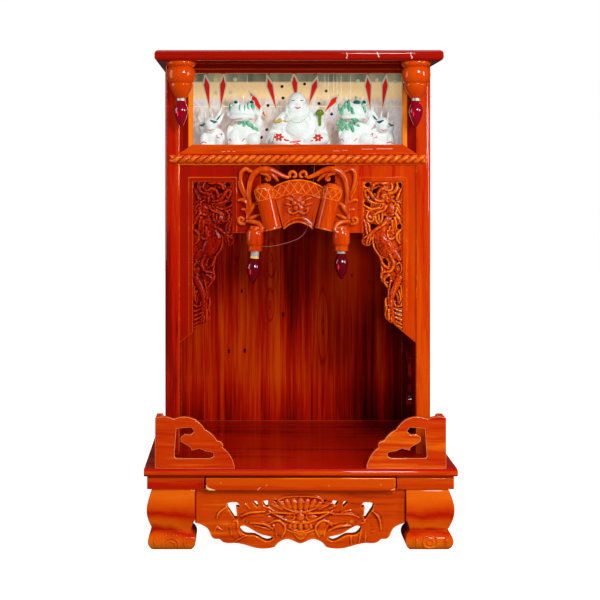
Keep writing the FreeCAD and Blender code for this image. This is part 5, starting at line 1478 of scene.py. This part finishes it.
BEAST_PAINT = (
    ("green_paint", 1, (
        ((-5, 29, 0.8), (-5.4, 33, 1.2), (-5, 38, 0.8)),
        ((3, 29, 0.8), (2.6, 34, 1.2), (3, 39, 0.8)),
    )),
    ("teal_paint", 1.2, (
        ((-14, 26, 1.6), (-11.6, 24.8, 2.6), (-9, 25.8, 1.4)),
        ((11.6, 25.8, 1.4), (14.2, 24.8, 2.6), (17, 26, 1.4)),
    )),
    ("red_paint", 0.8, (
        ((-21, 53.4, 0.8), (-12, 53, 1), (-1, 52.4, 0.8)), ((9, 52.6, 0.8), (17, 53, 0.8)),
        ((-24, 88, 0.6), (-21, 85, 1), (-19, 90, 0.6)), ((-2, 90, 0.6), (1, 86, 1), (4, 84, 0.6)),
    )),
    ("gold_paint", 1.2, (
        ((1, 97, 1.8), (8, 96, 2.6), (15, 97, 1.8)),
    )),
)
# Leaves and a crown on the two inner beasts, as (out, down, width, length, lean in degrees)
CHIN_LEAVES = ((-20.5, 33, 6, 15, 0), (-5, 59, 7, 13, 24), (2, 61, 7, 17, 8), (9, 61, 7, 16, -14),
               (14, 64, 6.6, 17, -34), (20.4, 68, 6, 15, -56), (8.6, 32, 4, 15, 0),
               (15.6, 32, 7, 17, -8))
FOLIAGE = ((-26, 33, 5, 13, 0), (-21, 38, 6, 18, 12), (-16, 31, 6, 18, 8), (-10.6, 32, 6, 24, 0),
           (-5, 40, 6, 16, -20), (14, 34, 6, 20, -16), (-25, 57, 6, 17, 42), (-19, 63, 6.4, 20, 16),
           (-12.6, 68, 6.4, 18, 0), (-5, 67, 6.4, 20, -16), (2.4, 61, 6.4, 19, -50),
           (-1, 54, 6, 15, -76), (-12, 56, 6, 15, 20), (-25, 67, 5, 13, 24), (2, 19, 4, 11, 0))
LEAF_CROWN = ((2.6, 26, 12, 9, 0),)
CALF_MASSES = (
    (0, 82, 44, 36, 17, 0, 0), (2, 60, 25, 22, 12, 0, 12), (2, 68, 17, 14, 9, 0, 18),
    (-12, 88, 14, 26, 9, 6, 12), (14, 88, 14, 26, 9, -6, 12), (0, 98, 46, 8, 20, 0, 4),
    (16, 66, 12, 16, 8, 24, 0),
)
CALF_LIMBS = (
    ((-6, 56, 4, 6), (-12, 44, 3.4, 4), (-17, 31, 0.8, 4)),
    ((-9, 60, 4, 4), (-16, 50, 3, 2), (-20, 42, 0.8, 2)),
    ((8, 54, 2, 10), (12, 48, 1.8, 10), (10, 43, 1.6, 10), (13, 39, 0.6, 10)),
    ((0, 54, 2, 12), (-2, 47, 1.8, 12), (1, 42, 1.4, 12), (0, 37, 0.5, 12)),
    ((14, 60, 3, 4), (22, 56, 2.6, 2), (23, 46, 0.8, 2)),
)
CALF_PAINT = (
    ("teal_paint", 1.1, (
        ((-8, 57, 1), (-4, 58, 2.4), (2, 55, 1.2)), ((-14, 46, 0.8), (-11, 50, 1.6), (-8, 54, 0.8)),
        ((10, 60, 1), (16, 63, 1.8), (20, 62, 0.8)),
    )),
    ("red_paint", 1, (
        ((-18, 78, 0.6), (-15, 76, 1), (-16, 81, 0.6)),
        ((-14, 84, 0.5), (-9, 83, 0.8), (-8, 79, 0.4)),
        ((-3, 70, 0.5), (2, 71.4, 0.8), (7, 70, 0.5)), ((8, 92, 0.6), (14, 90, 1), (18, 93, 0.6)),
    )),
)
KINDS = ((BEAST_MASSES, BEAST_LIMBS, BEAST_PAINT), (CALF_MASSES, CALF_LIMBS, CALF_PAINT),
         (BEAST_MASSES, BEAST_LIMBS, BEAST_PAINT[1:3]))
# Leaves of the kinds as (finish, kind, spots)
LEAVES = (("leaf", 0, CHIN_LEAVES), ("leaf", 2, FOLIAGE), ("teal_paint", 2, LEAF_CROWN))
# Beasts as (place across, side they face, kind)
BEASTS = ((-88.5, RIGHT, 0), (96, RIGHT, 2), (-140, LEFT, 1), (140, RIGHT, 1))
FIGURE_PLANE, BEAST_PLANE, SHELF_TO_TOP = -42, -40, 100
BEAD, BEAD_COUNT = (1.7, 1.7, 0.9, 0), 15


class CABINET_OT_porcelain(bpy.types.Operator):
    """The glazed porcelain set: a calm seated figure between two pairs of beasts"""

    bl_idname = "cabinet.porcelain"
    bl_label = "Porcelain"
    cell = 1.15 * MM
    petals = 6

    def clay(self, across, plane, side=RIGHT):
        return Carving((across * MM, SHELF_TOP + SHELF_TO_TOP * MM), plane * MM, side)

    def glazed(self, name, across, plane, side, masses, limbs, paint):
        """The white body and its painted touches as (finish, bmesh) pairs, and its search tree."""
        clay = self.clay(across, plane, side)
        clay.domes(masses)
        clay.ridges(limbs, lift=0)
        body, white = clay.remeshed(name, self.cell), bmesh.new()
        tree = tree_of(body)
        white.from_mesh(body)
        bpy.data.meshes.remove(body)
        pieces = [("porcelain", white)]
        for finish, swell, strokes in paint:
            touch = self.clay(across, plane, side)
            touch.ridges(touch.laid(strokes, tree), swell=swell, lift=-0.35, fine=2)
            pieces.append((finish, touch.bm))
        return pieces, tree

    def gather(self, name, pieces, node):
        """One object of bmeshes, each with its own finish."""
        bm, used = bmesh.new(), list(dict.fromkeys(finish for finish, _ in pieces))
        for finish, piece in pieces:
            for face in smoothed(piece).faces:
                face.material_index = used.index(finish)
            poured(piece, bm)
        settle(object_from(bm, name, *used, round_below=math.radians(70)), "cabinet", "porcelain",
               node)

    def beads(self, tree):
        """A string of beads in a curve over the breast."""
        beads = self.clay(0, FIGURE_PLANE)
        for number in range(BEAD_COUNT):
            share = number / (BEAD_COUNT - 1)
            rest = 1 - share
            out, down = (rest ** 2 * start + 2 * share * rest * pull + share ** 2 * end
                         for start, pull, end in zip(*BEAD_ARC))
            height = beads.surface(out, down, tree)
            if height is not None:
                beads.dome(out, down, *BEAD, height)
        return beads.bm

    def flowers(self, tree):
        """Two flowers of painted petals on the knees."""
        flowers = self.clay(0, FIGURE_PLANE)
        for out, down, reach in FLOWERS:
            petals = []
            for petal in range(self.petals):
                turn = 2 * math.pi * petal / self.petals
                across, rise = math.cos(turn), math.sin(turn)
                petals.append([(out + across, down + rise, 1.4),
                               (out + 0.6 * reach * across, down + 0.5 * reach * rise, 2.8),
                               (out + reach * across, down + 0.8 * reach * rise, 1)])
            flowers.ridges(flowers.laid(petals, tree), lift=-0.45, fine=2)
        return flowers.bm

    def execute(self, context):
        pieces, tree = self.glazed("figure", 0, FIGURE_PLANE, RIGHT, FIGURE_MASSES, FIGURE_LIMBS,
                                   FIGURE_PAINT)
        pieces += [("green_paint", self.beads(tree)), ("red_paint", self.flowers(tree))]
        for finish, masses, strokes in HELD:
            held = self.clay(0, FIGURE_PLANE)
            held.domes(masses)
            if strokes:
                held.ridges(strokes, lift=0)
            pieces.append((finish, held.bm))
        self.gather("seated_figure_glazed", pieces, "seated_figure")
        pieces = []
        for number, (across, side, kind) in enumerate(BEASTS):
            beast, tree = self.glazed(f"beast_{number}", across, BEAST_PLANE, side, *KINDS[kind])
            pieces += beast
            for finish, wearer, spots in LEAVES:
                if kind == wearer:
                    leaves = self.clay(across, BEAST_PLANE)
                    leaves.leaves(spots, tree)
                    pieces.append((finish, leaves.bm))
        self.gather("porcelain_beasts_glazed", pieces, "porcelain_beasts")
        return {"FINISHED"}


# Camera, in metres and in pixels of the photo, with its sensor in millimetres
PHOTO_WIDTH = 600
CAMERA_PLACE = (-0.0852, -2.328, 0.5735)
FOCAL_PIXELS = 1381.6
AXIS_PIXEL = (245, 176)
SENSOR_WIDTH = 36
# Lamps as (name, place, width, power, height)
LAMPS = (("key", (0.8, -2.1, 1.35), 0.6, 34, 0.6), ("front", (0.1, -2.6, 0.6), 0.3, 14, 0.3),
         ("window_right", (1.9, -1.2, 0.95), 0.4, 14, 0.7),
         ("window_left", (-1.9, -0.3, 0.9), 0.8, 10, 1.2), ("above", (0, 0.2, 2.4), 1.6, 10, 1.6))
LAMPS_AIM = (0, 0, 0.4)
ROOM_LIGHT, ROOM_IN_GLOSS, FLOOR_HALF, FLOOR_SHINE = 0.37, 0.04, 6, 0.95
BLACK, WHITE, GREY, DARK_GREY, PALE_GREY = ((tone, tone, tone) for tone in (0, 1, 0.2, 0.03, 0.6))


class CABINET_OT_stage(bpy.types.Operator):
    """Camera, lamps, floor and backdrop"""

    bl_idname = "cabinet.stage"
    bl_label = "Stage"

    def camera(self, scene):
        data = bpy.data.cameras.new("camera")
        data.sensor_width = SENSOR_WIDTH
        data.lens = FOCAL_PIXELS / PHOTO_WIDTH * SENSOR_WIDTH
        data.shift_x = (PHOTO_WIDTH / 2 - AXIS_PIXEL[0]) / PHOTO_WIDTH
        data.shift_y = -(PHOTO_WIDTH / 2 - AXIS_PIXEL[1]) / PHOTO_WIDTH
        scene.camera = bpy.data.objects.new("camera", data)
        scene.camera.location, scene.camera.rotation_euler = CAMERA_PLACE, (math.radians(90), 0, 0)
        scene.collection.objects.link(scene.camera)

    def lamps(self, scene):
        for name, place, wide, power, tall in LAMPS:
            data = bpy.data.lights.new(name, "AREA")
            data.energy, data.size = power, wide
            if tall != wide:
                data.shape, data.size_y = "RECTANGLE", tall
            lamp = bpy.data.objects.new(name, data)
            lamp.location, aim = place, Vector(LAMPS_AIM) - Vector(place)
            lamp.rotation_euler = aim.to_track_quat("-Z", "Y").to_euler()
            lamp.visible_glossy = name != "front"
            scene.collection.objects.link(lamp)

    def room(self, scene):
        """A white room, that lights less than it shows and hardly mirrors."""
        scene.world = bpy.data.worlds.new("studio")
        scene.world.use_nodes = True
        sky = Nodes(scene.world.node_tree)
        either = sky.add("ShaderNodeMath", {"operation": "MAXIMUM"},
                         {0: sky.ray("Camera"), 1: sky.ray("Transmission")})
        dim = sky.add("ShaderNodeMapRange", {}, {
            "Value": sky.ray("Glossy"), "To Min": ROOM_LIGHT, "To Max": ROOM_IN_GLOSS})
        level = sky.add("ShaderNodeMapRange", {}, {"Value": either, "To Min": dim, "To Max": 1.0})
        background = scene.world.node_tree.nodes["Background"].inputs
        sky.feed(background["Strength"], level)
        sky.feed(background["Color"], WHITE)

    def floor(self, scene):
        bm = bmesh.new()
        bmesh.ops.create_grid(bm, x_segments=1, y_segments=1, size=FLOOR_HALF)
        floor = object_from(bm, "floor")
        paper = Finish("floor_paper")
        seen, mirrored_in = paper.ray("Camera"), paper.ray("Glossy")
        shade = paper.mix(seen, paper.mix(mirrored_in, GREY, DARK_GREY), PALE_GREY)
        paper.set(Base_Color=shade, Roughness=0.7, Specular_IOR_Level=0,
                  Emission_Color=paper.mix(seen, BLACK, WHITE), Emission_Strength=FLOOR_SHINE)
        floor.data.materials.append(paper.material)
        scene.collection.objects.link(floor)

    def execute(self, context):
        for build in (self.camera, self.lamps, self.room, self.floor):
            build(context.scene)
        context.scene.view_settings.view_transform = "Standard"
        return {"FINISHED"}


class CABINET_PT_panel(bpy.types.Panel):
    """Buttons and settings of the cabinet"""

    bl_idname = "CABINET_PT_panel"
    bl_label = "Altar cabinet"
    bl_space_type = "VIEW_3D"
    bl_region_type = "UI"
    bl_category = "Cabinet"

    def draw(self, context):
        for operator in OPERATORS:
            self.layout.operator(operator.bl_idname)
        for group in (context.scene.cabinet_make, context.scene.cabinet_finish):
            for name in group.__annotations__:
                self.layout.prop(group, name)


OPERATORS = (CABINET_OT_boards, CABINET_OT_wire, CABINET_OT_rope, CABINET_OT_dragons,
             CABINET_OT_valance, CABINET_OT_apron, CABINET_OT_legs, CABINET_OT_tray,
             CABINET_OT_lamps, CABINET_OT_halo, CABINET_OT_porcelain, CABINET_OT_stage)
CLASSES = (CabinetFinish, CabinetMake, *OPERATORS, CABINET_PT_panel)


def register():
    for piece in CLASSES:
        bpy.utils.register_class(piece)
    bpy.types.Scene.cabinet_finish = bpy.props.PointerProperty(type=CabinetFinish)
    bpy.types.Scene.cabinet_make = bpy.props.PointerProperty(type=CabinetMake)


def unregister():
    del bpy.types.Scene.cabinet_make
    del bpy.types.Scene.cabinet_finish
    for piece in reversed(CLASSES):
        bpy.utils.unregister_class(piece)


def main():
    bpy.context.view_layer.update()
    register()
    finishes.update(make_finishes(bpy.context.scene.cabinet_finish))
    bpy.ops.cabinet.stage()
    bpy.ops.cabinet.wire()
    bpy.ops.cabinet.boards()
    bpy.ops.cabinet.rope()
    bpy.ops.cabinet.dragons()
    bpy.ops.cabinet.valance()
    bpy.ops.cabinet.apron()
    bpy.ops.cabinet.legs()
    bpy.ops.cabinet.tray()
    bpy.ops.cabinet.lamps()
    bpy.ops.cabinet.halo()
    bpy.ops.cabinet.porcelain()


if __name__ == "__main__":
    main()
